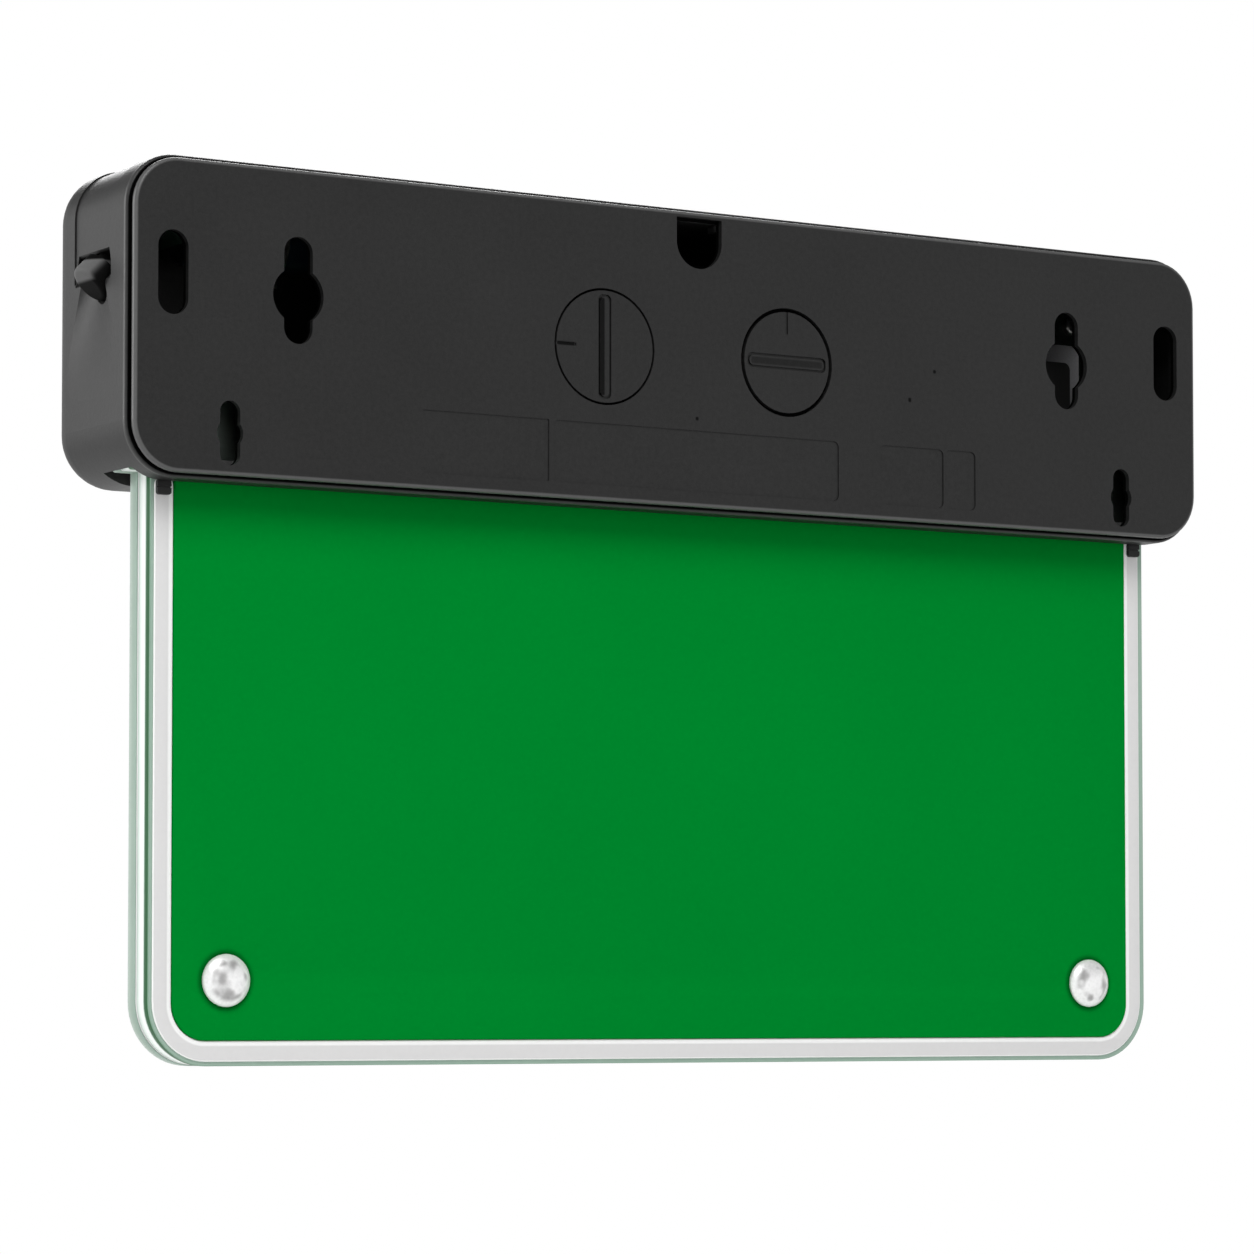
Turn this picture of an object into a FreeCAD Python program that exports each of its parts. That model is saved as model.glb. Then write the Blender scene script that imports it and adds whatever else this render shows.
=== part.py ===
import FreeCAD, Part
import math
import os

from FreeCAD import Vector

# Edge-lit emergency exit light with a wall plate, a moulded housing and a hanging sign panel.
# The wall side of the housing lies in the plane Y = 0 and the light reaches towards -Y.
# +Z is up, X runs along the housing, and the end with the test button is at +X.
# The origin is the centre of the back plate's wall face. All sizes are in millimetres.

# How far a cutter runs past the face that it opens, and how round the ends of a slot are
PAST = 1.0
SLOT_ROUNDING = 0.999

# Housing: the plate's length and height, and the moulded shell that stands out round it
PLATE_LENGTH = 320.0
PLATE_HEIGHT = 75.5
HOUSING_DEPTH = 45.8
CORNER_RADIUS = 12.0
SHELL_MARGIN = 1.1
FRONT_EDGE_RADIUS = 10.0
TOP_ROLL_RADIUS = 18.0
REAR_EDGE_RADIUS = 0.9
WALL = 3.2

# Back plate: a thin rim, a dark seam behind it and a lip that enters the shell
RIM_THICKNESS = 1.5
RIM_EDGE_RADIUS = 0.9
SEAM_WIDTH = 1.1
SEAM_DEPTH = 1.6
LIP_DEPTH = 4.0
LIP_WALL = 1.6
LIP_CLEARANCE = 0.25
SNAP_LENGTH = 12.0
SNAP_HEIGHT = 0.8
SNAP_WIDTH = 1.6
SNAP_CLEARANCE = 0.2
SNAP_INNER_X = 40.0
SNAP_OUTER_X = 112.0

# Openings of the back plate, placed from its ends and long edges
END_SLOT_INSET = 10.2
END_SLOT_WIDTH = 8.0
END_SLOT_LENGTH = 20.3
END_SLOT_DROP = 27.7
KEYHOLE_INSET = 43.8
KEYHOLE_DROP = 30.7
KEYHOLE_HEAD_RADIUS = 6.9
KEYHOLE_SLOT_WIDTH = 7.8
KEYHOLE_SLOT_UP = 14.3
KEYHOLE_SLOT_DOWN = 11.8
LOWER_KEYHOLE_INSET = 25.5
LOWER_KEYHOLE_RISE = 10.2
LOWER_KEYHOLE_WIDTH = 5.4
LOWER_KEYHOLE_LENGTH = 15.6
LOWER_KEYHOLE_HEAD_RADIUS = 3.5
NOTCH_WIDTH = 13.6
NOTCH_HEIGHT = 13.0
NOTCH_STRIP = 1.5
NOTCH_OFFSET = 0.9

# Knockouts: a ring cut round a disc, a gripping bar and a short mark
KNOCKOUT_A_X = 29.2
KNOCKOUT_A_RADIUS = 14.8
KNOCKOUT_A_GROOVE = 0.6
KNOCKOUT_B_X = -25.9
KNOCKOUT_B_RADIUS = 14.1
KNOCKOUT_B_GROOVE = 1.0
KNOCKOUT_RISE = 1.2
KNOCKOUT_WEB = 0.8
KNOCKOUT_BAR_MARGIN = 1.6
KNOCKOUT_BAR_WIDTH = 2.6
KNOCKOUT_BAR_HEIGHT = 0.6
KNOCKOUT_BAR_ROUNDING = 0.95
KNOCKOUT_BAR_GAP = 0.6
KNOCKOUT_MARK_LENGTH = 5.8
KNOCKOUT_MARK_WIDTH = 0.8
KNOCKOUT_MARK_DEPTH = 0.35

# Shallow label recesses along the lower edge of the back plate
RECESS_RISE = 3.9
RECESS_HEIGHT = 15.6
RECESS_DEPTH = 0.3
RECESS_CORNER = 1.6
RECESS_A_CORNER = 0.4
RECESS_A_START = 81.7
RECESS_A_LENGTH = 36.2
RECESS_B_START = 44.7
RECESS_B_LENGTH = 86.8
RECESS_C_START = -55.1
RECESS_C_LENGTH = 20.4
RECESS_D_LENGTH = 9.8
RECESS_GAP = 0.6

# Sign panel: sheets from the wall side to the front
PANEL_INSET = 9.9
PANEL_DROP = 141.4
PANEL_CORNER = 15.5
PANEL_SETBACK = 11.1
REAR_SHEET_THICKNESS = 2.1
REFLECTOR_THICKNESS = 4.9
FRONT_FACE_THICKNESS = 0.4
LIGHT_GUIDE_THICKNESS = 4.0
INNER_SHEET_INSET = 0.3
EAR_LENGTH = 4.8
EAR_RISE = 1.6
EAR_CORNER = 0.8
BORDER_MARGIN_NEAR = 0.8
BORDER_MARGIN_FAR = 1.8
BORDER_MARGIN_BELOW = 1.1
BORDER_WIDTH = 5.0
BORDER_THICKNESS = 0.6
BORDER_GAP = 0.1
BORDER_END_FLAT = 0.25
GREEN_THICKNESS = 1.1
GREEN_CORNER = 9.0

# Panel fixings
CAP_INSET = 20.0
CAP_RISE = 20.6
CAP_RADIUS = 6.4
CAP_HEIGHT = 3.2
CAP_RIM = 0.9
SCREW_HEAD_HEIGHT = 2.6
PANEL_SCREW_RADIUS = 2.0
PANEL_SCREW_GRIP = 1.9
HOLE_CLEARANCE = 0.2
TOP_SCREW_HEAD_SIDE = 3.7
TOP_SCREW_HEAD_CORNER = 0.8
TOP_SCREW_HEAD_HEIGHT = 1.1
TOP_SCREW_SLIT = 0.46
TOP_SCREW_INSET = 2.1
TOP_SCREW_RADIUS = 1.0
TOP_SCREW_DROP = 2.6

# Slot in the underside of the shell
SLOT_END_INSET = 4.0
SLOT_CLEARANCE = 0.6
SLOT_FRONT_CLEARANCE = 2.4

# Channel that holds the sheets, with the LED board under its web
CHANNEL_WALL = 1.5
CHANNEL_EDGE_RADIUS = 0.9
CHANNEL_CLEARANCE = 0.2
CHANNEL_LIFT = 1.7
CHANNEL_END_GAP = 8.0
SHEET_HEAD = 17.2
LED_GAP = 0.6
LED_HEIGHT = 1.4
LED_LENGTH = 3.5
LED_WIDTH = 2.8
LED_PITCH = 10.0
LED_BOARD_WIDTH = 4.0
LED_BOARD_THICKNESS = 1.2
LED_BOARD_END_GAP = 2.0
CHANNEL_SCREW_PITCH = 73.0
CHANNEL_SCREW_COUNT = 4
CHANNEL_SCREW_RISE = 7.8
CHANNEL_SCREW_RADIUS = 1.5
CHANNEL_SCREW_HEAD_RADIUS = 2.75
CHANNEL_SCREW_HEAD_HEIGHT = 2.0
CHANNEL_SCREW_BITE = 7.0
BOSS_RADIUS = 3.5
PILOT_CLEARANCE = 0.05

# Test button in its slanted well, on the middle line of the relief and the finger scoop
BUTTON_TILT = 45.0
BUTTON_SETBACK = 19.2
BUTTON_DROP = 27.9
BUTTON_RADIUS = 5.2
BUTTON_REACH = 2.6
BUTTON_TIP_RADIUS = 1.4
BUTTON_HEAD_LENGTH = 5.8
BUTTON_NECK_RADIUS = 3.6
BUTTON_CLEARANCE = 0.3
BUTTON_FLANGE_RADIUS = 5.4
BUTTON_FLANGE_THICKNESS = 1.5
WELL_RADIUS = 9.6
WELL_DEPTH = 5.2
WELL_FLOOR = 2.6
WELL_SILL = 0.5
WELL_BOSS_RADIUS = 11.8
RELIEF_SETBACK = 20.9
RELIEF_WIDTH = 20.4
RELIEF_DEPTH = 0.4
SCOOP_LENGTH = 30.0
SCOOP_DEPTH = 2.4
SCOOP_TOP_WIDTH = 13.0
SCOOP_FOOT_WIDTH = 40.0
SCOOP_RUN_OUT = 0.1

# Push switch behind the button, on its own small board
SWITCH_SIDE = 7.0
SWITCH_HEIGHT = 6.0
SWITCH_GAP = 2.2
PLUNGER_RADIUS = 1.6
PLUNGER_LENGTH = 5.2
PLUNGER_CLEARANCE = 0.3
SWITCH_BOARD_LENGTH = 24.0
SWITCH_BOARD_WIDTH = 12.0
BOARD_THICKNESS = 1.6
SWITCH_POST_RADIUS = 2.2
SWITCH_POST_OFFSET = 8.8
SWITCH_SCREW_RADIUS = 1.1
SWITCH_SCREW_HEAD_RADIUS = 1.98
SWITCH_SCREW_HEAD_HEIGHT = 1.2
SWITCH_FLOOR = 0.6

# Driver board in the far half of the housing, as long as the battery beside it allows
DRIVER_BATTERY_GAP = 9.0
DRIVER_HEIGHT = 50.0
DRIVER_STANDOFF = 6.8
DRIVER_END_GAP = 8.8
DRIVER_TOP_GAP = 7.3
DRIVER_HOLE_INSET = 4.5
DRIVER_CORNER = 1.5
PACKAGE_CORNER = 0.4
BOARD_SCREW_RADIUS = 1.3
BOARD_SCREW_HEAD_RADIUS = 2.5
BOARD_SCREW_HEAD_HEIGHT = 1.7
BOARD_SCREW_BITE = 5.0
TRANSFORMER_LENGTH = 30.0
TRANSFORMER_HEIGHT = 25.0
TRANSFORMER_DEPTH = 19.0
TRANSFORMER_STACK = 11.0
TRANSFORMER_LEG = 5.0
TRANSFORMER_GAP = 4.0
COIL_CLEARANCE = 0.3
COIL_CORE_CLEARANCE = 0.1
COIL_CORNER = 2.0
COIL_PROUD = 3.0
CAPACITOR_RADIUS = 5.0
CAPACITOR_LENGTH = 12.5
CAPACITOR_PITCH = 12.0
CAPACITOR_GAP = 9.0
CAPACITOR_DROP = 6.0
CAPACITOR_COUNT = 2
CAPACITOR_EDGE_RADIUS = 0.7
CRIMP_RISE = 1.6
CRIMP_WIDTH = 0.8
CRIMP_DEPTH = 0.5
DIODE_RADIUS = 1.4
DIODE_LENGTH = 5.2
DIODE_PITCH = 8.0
DIODE_COUNT = 4
DIODE_RISE = 7.0
DIODE_GAP = 4.0
RELAY_LENGTH = 19.0
RELAY_HEIGHT = 11.5
RELAY_DEPTH = 15.0
RELAY_GAP = 5.0
RELAY_DROP = 15.5
CHIP_LENGTH = 10.0
CHIP_HEIGHT = 6.4
CHIP_DEPTH = 3.3
CHIP_GAP = 2.0
TERMINAL_LENGTH = 15.2
TERMINAL_HEIGHT = 9.0
TERMINAL_DEPTH = 11.0
TERMINAL_WAYS = 3
TERMINAL_DROP = 3.0
TERMINAL_SCREW_RADIUS = 1.62
TERMINAL_SCREW_DEPTH = 3.0
TERMINAL_MOUTH_WIDTH = 3.04
TERMINAL_MOUTH_HEIGHT = 3.5
TERMINAL_MOUTH_RISE = 2.0
TERMINAL_MOUTH_DEPTH = 4.0
FUSE_RADIUS = 2.3
FUSE_CAP_RADIUS = 2.6
FUSE_CAP_LENGTH = 3.5
FUSE_GAP = 6.0
SOCKET_LENGTH = 7.5
SOCKET_HEIGHT = 5.8
SOCKET_DEPTH = 7.0
SOCKET_WALL = 0.8
SOCKET_BACK = 2.0
SOCKET_SETBACK = 7.0
SOCKET_DROP = 22.0
SOCKET_GAP = 2.4

# Battery stick in its saddles in the near half
CELL_RADIUS = 7.2
CELL_LENGTH = 49.0
CELL_COUNT = 3
SLEEVE_WAIST = 0.5
SLEEVE_SHOULDER = 1.0
CELL_END_GAP = 28.0
BATTERY_TOP_GAP = 3.5
BATTERY_FRONT_GAP = 2.0
SADDLE_THICKNESS = 4.0
SADDLE_CLEARANCE = 0.15
STRAP_THICKNESS = 1.2
STRAP_FOOT = 4.0

# Leads
LEAD_RADIUS = 0.65
LEAD_BEND = 6.6
LEAD_PITCH = 2.5
LEAD_RISER_GAP = 8.6
LEAD_SEAT_GAP = 0.1
LED_LEAD_SWING = 14.0
LED_LEAD_HOLE_LENGTH = 8.0
SWITCH_LEAD_DROP = 1.4
SWITCH_LEAD_RUN_UP = 6.0
SWITCH_LEAD_LAND_X = 12.0

# Values that follow from the sizes above
END_X = PLATE_LENGTH / 2
TOP_Z = PLATE_HEIGHT / 2
SHELL_END_X = END_X + SHELL_MARGIN
SHELL_TOP_Z = TOP_Z + SHELL_MARGIN
CAVITY_INSET = WALL - SHELL_MARGIN
FRONT_WALL_Y = -(HOUSING_DEPTH - WALL)
FLOOR_Z = -SHELL_TOP_Z + WALL
CEILING_Z = SHELL_TOP_Z - WALL
SEAT_Y = -(RIM_THICKNESS + SEAM_WIDTH)
PANEL_X = END_X - PANEL_INSET
PANEL_BOTTOM_Z = -TOP_Z - PANEL_DROP
REAR_SHEET_Y = -PANEL_SETBACK
REFLECTOR_Y = REAR_SHEET_Y - REAR_SHEET_THICKNESS
FRONT_FACE_Y = REFLECTOR_Y - REFLECTOR_THICKNESS
LIGHT_GUIDE_Y = FRONT_FACE_Y - FRONT_FACE_THICKNESS
PACK_FRONT_Y = LIGHT_GUIDE_Y - LIGHT_GUIDE_THICKNESS
GREEN_FACE_Y = REAR_SHEET_Y + GREEN_THICKNESS
SHEET_TOP_Z = FLOOR_Z + SHEET_HEAD
EAR_BOTTOM_Z = -TOP_Z + EAR_RISE
LED_BOARD_Z = SHEET_TOP_Z + LED_GAP + LED_HEIGHT
CHANNEL_TOP_Z = LED_BOARD_Z + LED_BOARD_THICKNESS + CHANNEL_WALL
CHANNEL_REAR_Y = REAR_SHEET_Y + CHANNEL_CLEARANCE + CHANNEL_WALL
CHANNEL_FRONT_Y = PACK_FRONT_Y - CHANNEL_CLEARANCE - CHANNEL_WALL
CHANNEL_X = PANEL_X + EAR_LENGTH - CHANNEL_END_GAP
CHANNEL_SCREW_Z = FLOOR_Z + CHANNEL_SCREW_RISE
DRIVER_Y = FRONT_WALL_Y + DRIVER_STANDOFF
DRIVER_FACE_Y = DRIVER_Y + BOARD_THICKNESS
DRIVER_START_X = -END_X + WALL + DRIVER_END_GAP
DRIVER_TOP_Z = CEILING_Z - DRIVER_TOP_GAP
BATTERY_Y = FRONT_WALL_Y + BATTERY_FRONT_GAP + CELL_RADIUS
BATTERY_Z = CEILING_Z - BATTERY_TOP_GAP - CELL_RADIUS
BATTERY_END_X = END_X - CELL_END_GAP
BATTERY_LENGTH = CELL_COUNT * CELL_LENGTH
DRIVER_LENGTH = BATTERY_END_X - BATTERY_LENGTH - DRIVER_BATTERY_GAP - DRIVER_START_X
CAP_X = PANEL_X - CAP_INSET
CAP_Z = PANEL_BOTTOM_Z + CAP_RISE
X_AXIS = Vector(1, 0, 0)
Y_AXIS = Vector(0, 1, 0)


def outline(corners, y):
    """Closed wire in the plane at y; each corner is (x, z, radius), sharp where the radius is 0."""
    points = [Vector(x, y, z) for x, z, _ in corners]
    edges = []
    last = first = None
    for index, (_, _, radius) in enumerate(corners):
        here = points[index]
        to_here = (here - points[index - 1]).normalize()
        onward = (points[(index + 1) % len(points)] - here).normalize()
        if radius > 0:
            half_turn = to_here.getAngle(onward) / 2
            reach = radius * math.tan(half_turn)
            start, end = here - to_here * reach, here + onward * reach
            inward = (onward - to_here).normalize()
            middle = here + inward * (radius / math.cos(half_turn) - radius)
        else:
            start, end, middle = here, here, None
        if last is not None and last.distanceToPoint(start) > 1e-6:
            edges.append(Part.LineSegment(last, start).toShape())
        if middle is not None:
            edges.append(Part.Arc(start, middle, end).toShape())
        last = end
        first = first or start
    if last.distanceToPoint(first) > 1e-6:
        edges.append(Part.LineSegment(last, first).toShape())
    return Part.Wire(edges)


def prism(corners, y_back, y_front):
    """Solid between two planes of constant y with the given outline."""
    return Part.Face(outline(corners, y_back)).extrude(Vector(0, y_front - y_back, 0))


def rectangle(x_low, x_high, z_low, z_high, radius=0.0):
    """Corners of a rectangle with equal corner radii, for outline and prism."""
    return [(x_low, z_low, radius), (x_high, z_low, radius),
            (x_high, z_high, radius), (x_low, z_high, radius)]


def block(x_low, x_high, y_low, y_high, z_low, z_high):
    """Box from its two extreme corners."""
    return Part.makeBox(x_high - x_low, y_high - y_low, z_high - z_low, Vector(x_low, y_low, z_low))


def rod(x, z, radius, y_back, y_front):
    """Round bar along Y between two planes."""
    return Part.makeCylinder(radius, y_back - y_front, Vector(x, y_front, z), Y_AXIS)


def obround(x, z_low, z_high, width, y_back, y_front):
    """Upright slot with round ends."""
    half = width / 2
    return prism(rectangle(x - half, x + half, z_low, z_high, half * SLOT_ROUNDING), y_back, y_front)


def edges_at_y(shape, y):
    """Edges of a shape that lie wholly in the plane at y."""
    return [edge for edge in shape.Edges
            if abs(edge.BoundBox.YMin - y) < 1e-4 and abs(edge.BoundBox.YMax - y) < 1e-4]


def merged(shapes):
    """One solid from shapes that touch or overlap."""
    return shapes[0].multiFuse(shapes[1:]).removeSplitter()


def housing_block(inset, y_back, y_front, front_radius):
    """Back plate's outline drawn in by inset, as a block with its front edges rounded."""
    corners = rectangle(-END_X + inset, END_X - inset, -TOP_Z + inset, TOP_Z - inset, CORNER_RADIUS - inset)
    solid = prism(corners, y_back, y_front)
    if front_radius > 0:
        solid = solid.makeFillet(front_radius, edges_at_y(solid, y_front))
    return solid


def shell_form(inset, y_back):
    """Shell's outer form drawn in by inset: rounded all round the front, most of all along its top."""
    y_front = -HOUSING_DEPTH + inset
    solid = housing_block(inset - SHELL_MARGIN, y_back, y_front, FRONT_EDGE_RADIUS - inset)
    top, low, roll = SHELL_TOP_Z - inset, -SHELL_TOP_Z - 1, TOP_ROLL_RADIUS - inset
    middle = Vector(-SHELL_END_X, y_front + roll * (1 - math.sqrt(0.5)), top - roll * (1 - math.sqrt(0.5)))
    start, end = Vector(-SHELL_END_X, y_front, top - roll), Vector(-SHELL_END_X, y_front + roll, top)
    corners = [end, Vector(-SHELL_END_X, y_back + 1, top), Vector(-SHELL_END_X, y_back + 1, low),
               Vector(-SHELL_END_X, y_front, low), start]
    edges = [Part.Arc(start, middle, end).toShape()]
    edges += [Part.LineSegment(a, b).toShape() for a, b in zip(corners, corners[1:])]
    return solid.common(Part.Face(Part.Wire(edges)).extrude(Vector(2 * SHELL_END_X, 0, 0)))


# Back plate

def keyhole_cutter(x):
    """Round head entry with a slot above and below it."""
    z = TOP_Z - KEYHOLE_DROP
    slot = obround(x, z - KEYHOLE_SLOT_DOWN, z + KEYHOLE_SLOT_UP, KEYHOLE_SLOT_WIDTH, PAST, SEAT_Y - PAST)
    return merged([rod(x, z, KEYHOLE_HEAD_RADIUS, PAST, SEAT_Y - PAST), slot])


def lower_keyhole_cutter(x):
    """Small keyhole near the lower edge, widest at its middle."""
    z = -TOP_Z + LOWER_KEYHOLE_RISE
    half = LOWER_KEYHOLE_LENGTH / 2
    slot = obround(x, z - half, z + half, LOWER_KEYHOLE_WIDTH, PAST, SEAT_Y - PAST)
    return merged([slot, rod(x, z, LOWER_KEYHOLE_HEAD_RADIUS, PAST, SEAT_Y - PAST)])


def notch_cutter():
    """Arched cable notch below a thin strip of the rim."""
    half = NOTCH_WIDTH / 2
    top = TOP_Z - NOTCH_STRIP
    bottom = top - NOTCH_HEIGHT
    radius = half * SLOT_ROUNDING
    corners = [(NOTCH_OFFSET - half, bottom, radius), (NOTCH_OFFSET + half, bottom, radius),
               (NOTCH_OFFSET + half, top, 0), (NOTCH_OFFSET - half, top, 0)]
    return prism(corners, PAST, SEAT_Y - LIP_DEPTH - PAST)


def ring(x, z, outer, inner, y_back, y_front):
    """Tube along Y."""
    return rod(x, z, outer, y_back, y_front).cut(rod(x, z, inner, y_back + PAST, y_front - PAST))


def knockout_cutters(x, radius, groove, upright):
    """Ring groove that leaves a thin web, and a short mark inside the ring."""
    inner = radius - groove
    half = KNOCKOUT_MARK_WIDTH / 2
    if upright:
        mark = block(x + inner - KNOCKOUT_MARK_LENGTH, x + inner, -KNOCKOUT_MARK_DEPTH, PAST,
                     KNOCKOUT_RISE - half, KNOCKOUT_RISE + half)
    else:
        mark = block(x - half, x + half, -KNOCKOUT_MARK_DEPTH, PAST,
                     KNOCKOUT_RISE + inner - KNOCKOUT_MARK_LENGTH, KNOCKOUT_RISE + inner)
    return [ring(x, KNOCKOUT_RISE, radius, inner, PAST, SEAT_Y + KNOCKOUT_WEB), mark]


def knockout_bar(x, radius, groove, upright):
    """Trench across a knockout and the bar that stands in it, which pliers grip to break it out."""
    reach = radius - groove - KNOCKOUT_BAR_MARGIN
    half = KNOCKOUT_BAR_WIDTH / 2
    half_x, half_z = (half, reach) if upright else (reach, half)
    outlines = [rectangle(x - half_x - gap, x + half_x + gap, KNOCKOUT_RISE - half_z - gap,
                          KNOCKOUT_RISE + half_z + gap, radius)
                for gap, radius in ((KNOCKOUT_BAR_GAP, half), (0, half * KNOCKOUT_BAR_ROUNDING))]
    return prism(outlines[0], PAST, -KNOCKOUT_BAR_HEIGHT), prism(outlines[1], 0, -KNOCKOUT_BAR_HEIGHT)


def recess_cutters():
    """Shallow label recesses in a row along the lower edge."""
    low = -TOP_Z + RECESS_RISE
    high = low + RECESS_HEIGHT
    spans = [(RECESS_A_START - RECESS_A_LENGTH, RECESS_A_START, RECESS_A_CORNER),
             (RECESS_B_START - RECESS_B_LENGTH, RECESS_B_START - RECESS_GAP, RECESS_CORNER),
             (RECESS_C_START - RECESS_C_LENGTH, RECESS_C_START, RECESS_CORNER),
             (RECESS_C_START - RECESS_C_LENGTH - RECESS_GAP - RECESS_D_LENGTH,
              RECESS_C_START - RECESS_C_LENGTH - RECESS_GAP, RECESS_CORNER)]
    return [prism(rectangle(x0, x1, low, high, radius), PAST, -RECESS_DEPTH) for x0, x1, radius in spans]


def snap_ridges(growth):
    """Ridges along the lip that click into the shell; growth makes the pockets they enter."""
    lip_z = CEILING_Z - LIP_CLEARANCE
    y_mid = SEAT_Y - LIP_DEPTH / 2
    half_width = SNAP_WIDTH / 2 + growth
    half_length = SNAP_LENGTH / 2 + growth
    height = SNAP_HEIGHT + growth
    ridges = []
    for x in (-SNAP_OUTER_X, -SNAP_INNER_X, SNAP_INNER_X, SNAP_OUTER_X):
        for side in (-1, 1):
            near, far = side * (lip_z - LIP_WALL / 2), side * (lip_z + height)
            ridges.append(block(x - half_length, x + half_length, y_mid - half_width, y_mid + half_width,
                                min(near, far), max(near, far)))
    return ridges


def back_plate():
    """Wall plate with its openings, knockouts, recesses, seam step and snap lip."""
    rim = housing_block(0, 0, -RIM_THICKNESS, 0)
    rim = rim.makeFillet(RIM_EDGE_RADIUS, edges_at_y(rim, 0))
    step = housing_block(SEAM_DEPTH, -RIM_THICKNESS, SEAT_Y, 0)
    lip_inset = CAVITY_INSET + LIP_CLEARANCE
    lip = housing_block(lip_inset, SEAT_Y, SEAT_Y - LIP_DEPTH, 0)
    lip = lip.cut(housing_block(lip_inset + LIP_WALL, SEAT_Y + PAST, SEAT_Y - LIP_DEPTH - PAST, 0))
    lip = lip.cut(slot_keepout())
    plate = merged([rim, step, lip] + snap_ridges(0))

    cutters = [notch_cutter()]
    slot_z = TOP_Z - END_SLOT_DROP
    for side in (-1, 1):
        cutters.append(obround(side * (END_X - END_SLOT_INSET), slot_z - END_SLOT_LENGTH / 2,
                               slot_z + END_SLOT_LENGTH / 2, END_SLOT_WIDTH, PAST, SEAT_Y - PAST))
        cutters.append(keyhole_cutter(side * (END_X - KEYHOLE_INSET)))
        cutters.append(lower_keyhole_cutter(side * (END_X - LOWER_KEYHOLE_INSET)))
    cutters += recess_cutters()
    bars = []
    for x, radius, groove, upright in ((KNOCKOUT_A_X, KNOCKOUT_A_RADIUS, KNOCKOUT_A_GROOVE, True),
                                       (KNOCKOUT_B_X, KNOCKOUT_B_RADIUS, KNOCKOUT_B_GROOVE, False)):
        trench, bar = knockout_bar(x, radius, groove, upright)
        cutters += knockout_cutters(x, radius, groove, upright) + [trench]
        bars.append(bar)
    plate = plate.cut(Part.makeCompound(cutters))
    return merged([plate] + bars)


# Front shell

def slot_keepout():
    """Space of the panel slot, from the wall's outside to above the sheets' ears."""
    x = END_X - SLOT_END_INSET
    return block(-x, x, PACK_FRONT_Y - SLOT_FRONT_CLEARANCE, GREEN_FACE_Y + SLOT_CLEARANCE,
                 -SHELL_TOP_Z - PAST, FLOOR_Z + CORNER_RADIUS)


def on_button_axis(shape):
    """Moves a shape drawn along +X at the origin onto the slanted axis of the test button."""
    shape = shape.copy()
    shape.rotate(Vector(0, 0, 0), Y_AXIS, BUTTON_TILT)
    shape.translate(Vector(SHELL_END_X, -BUTTON_SETBACK, TOP_Z - BUTTON_DROP))
    return shape


def axial(radius, start, end, y=0.0):
    """Round bar on the button axis, from start to end along it, offset sideways by y."""
    return on_button_axis(Part.makeCylinder(radius, end - start, Vector(start, y, 0), X_AXIS))


def axial_box(start, end, half_y, half_z):
    """Box centred on the button axis."""
    corner = Vector(start, -half_y, -half_z)
    return on_button_axis(Part.makeBox(end - start, 2 * half_y, 2 * half_z, corner))


def button_well_cutters():
    """Slanted well above the button's axis, its bores, the shallow relief and the finger scoop."""
    z = TOP_Z - BUTTON_DROP
    above_sill = Part.makeBox(WELL_DEPTH + 2 * WELL_RADIUS, 2 * WELL_RADIUS, WELL_RADIUS + WELL_SILL,
                              Vector(-WELL_DEPTH, -WELL_RADIUS, -WELL_SILL))
    well = axial(WELL_RADIUS, -WELL_DEPTH, 2 * WELL_RADIUS).common(on_button_axis(above_sill))
    well.translate(Vector(0, BUTTON_SETBACK - RELIEF_SETBACK, 0))
    floor_end = -WELL_DEPTH - WELL_FLOOR
    head_bore = axial(BUTTON_RADIUS + BUTTON_CLEARANCE, -WELL_DEPTH, 2 * WELL_RADIUS)
    neck_bore = axial(BUTTON_NECK_RADIUS + BUTTON_CLEARANCE, floor_end - PAST, 0)
    flange_room = axial(BUTTON_FLANGE_RADIUS + BUTTON_CLEARANCE, switch_board_start(), floor_end)
    relief = block(SHELL_END_X - CORNER_RADIUS, SHELL_END_X, -RELIEF_SETBACK - RELIEF_WIDTH / 2,
                   -RELIEF_SETBACK + RELIEF_WIDTH / 2, z, SHELL_TOP_Z)
    relief = relief.cut(housing_block(RELIEF_DEPTH - SHELL_MARGIN, 0, -HOUSING_DEPTH, 0))
    return [well, head_bore, neck_bore, flange_room, relief, finger_scoop(z)]


def finger_scoop(z):
    """Soft hollow that widens and runs out downwards from the button's middle height."""
    proud = SHELL_END_X + PAST
    sections = []
    for half, inner_x, height in ((SCOOP_TOP_WIDTH / 2, SHELL_END_X - SCOOP_DEPTH, z),
                                  (SCOOP_FOOT_WIDTH / 2, SHELL_END_X + SCOOP_RUN_OUT, z - SCOOP_LENGTH)):
        edge_x = SHELL_END_X + 2 * SCOOP_RUN_OUT
        low, middle, high = [Vector(x, y - RELIEF_SETBACK, height)
                             for x, y in ((edge_x, -half), (inner_x, 0), (edge_x, half))]
        outer = [Vector(proud, point.y, height) for point in (high, low)]
        edges = [Part.Arc(low, middle, high).toShape()]
        edges += [Part.LineSegment(a, b).toShape() for a, b in ((high, outer[0]), tuple(outer), (outer[1], low))]
        sections.append(Part.Wire(edges))
    return Part.makeLoft(sections, True, True)


def well_boss():
    """Thick boss behind the well, with two posts that carry the switch board."""
    inner_end = -WELL_DEPTH - WELL_FLOOR
    boss = axial(WELL_BOSS_RADIUS, inner_end, WELL_RADIUS)
    posts = [axial(SWITCH_POST_RADIUS, switch_board_start(), inner_end + 1, side * SWITCH_POST_OFFSET)
             for side in (-1, 1)]
    return merged([boss] + posts)


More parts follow.
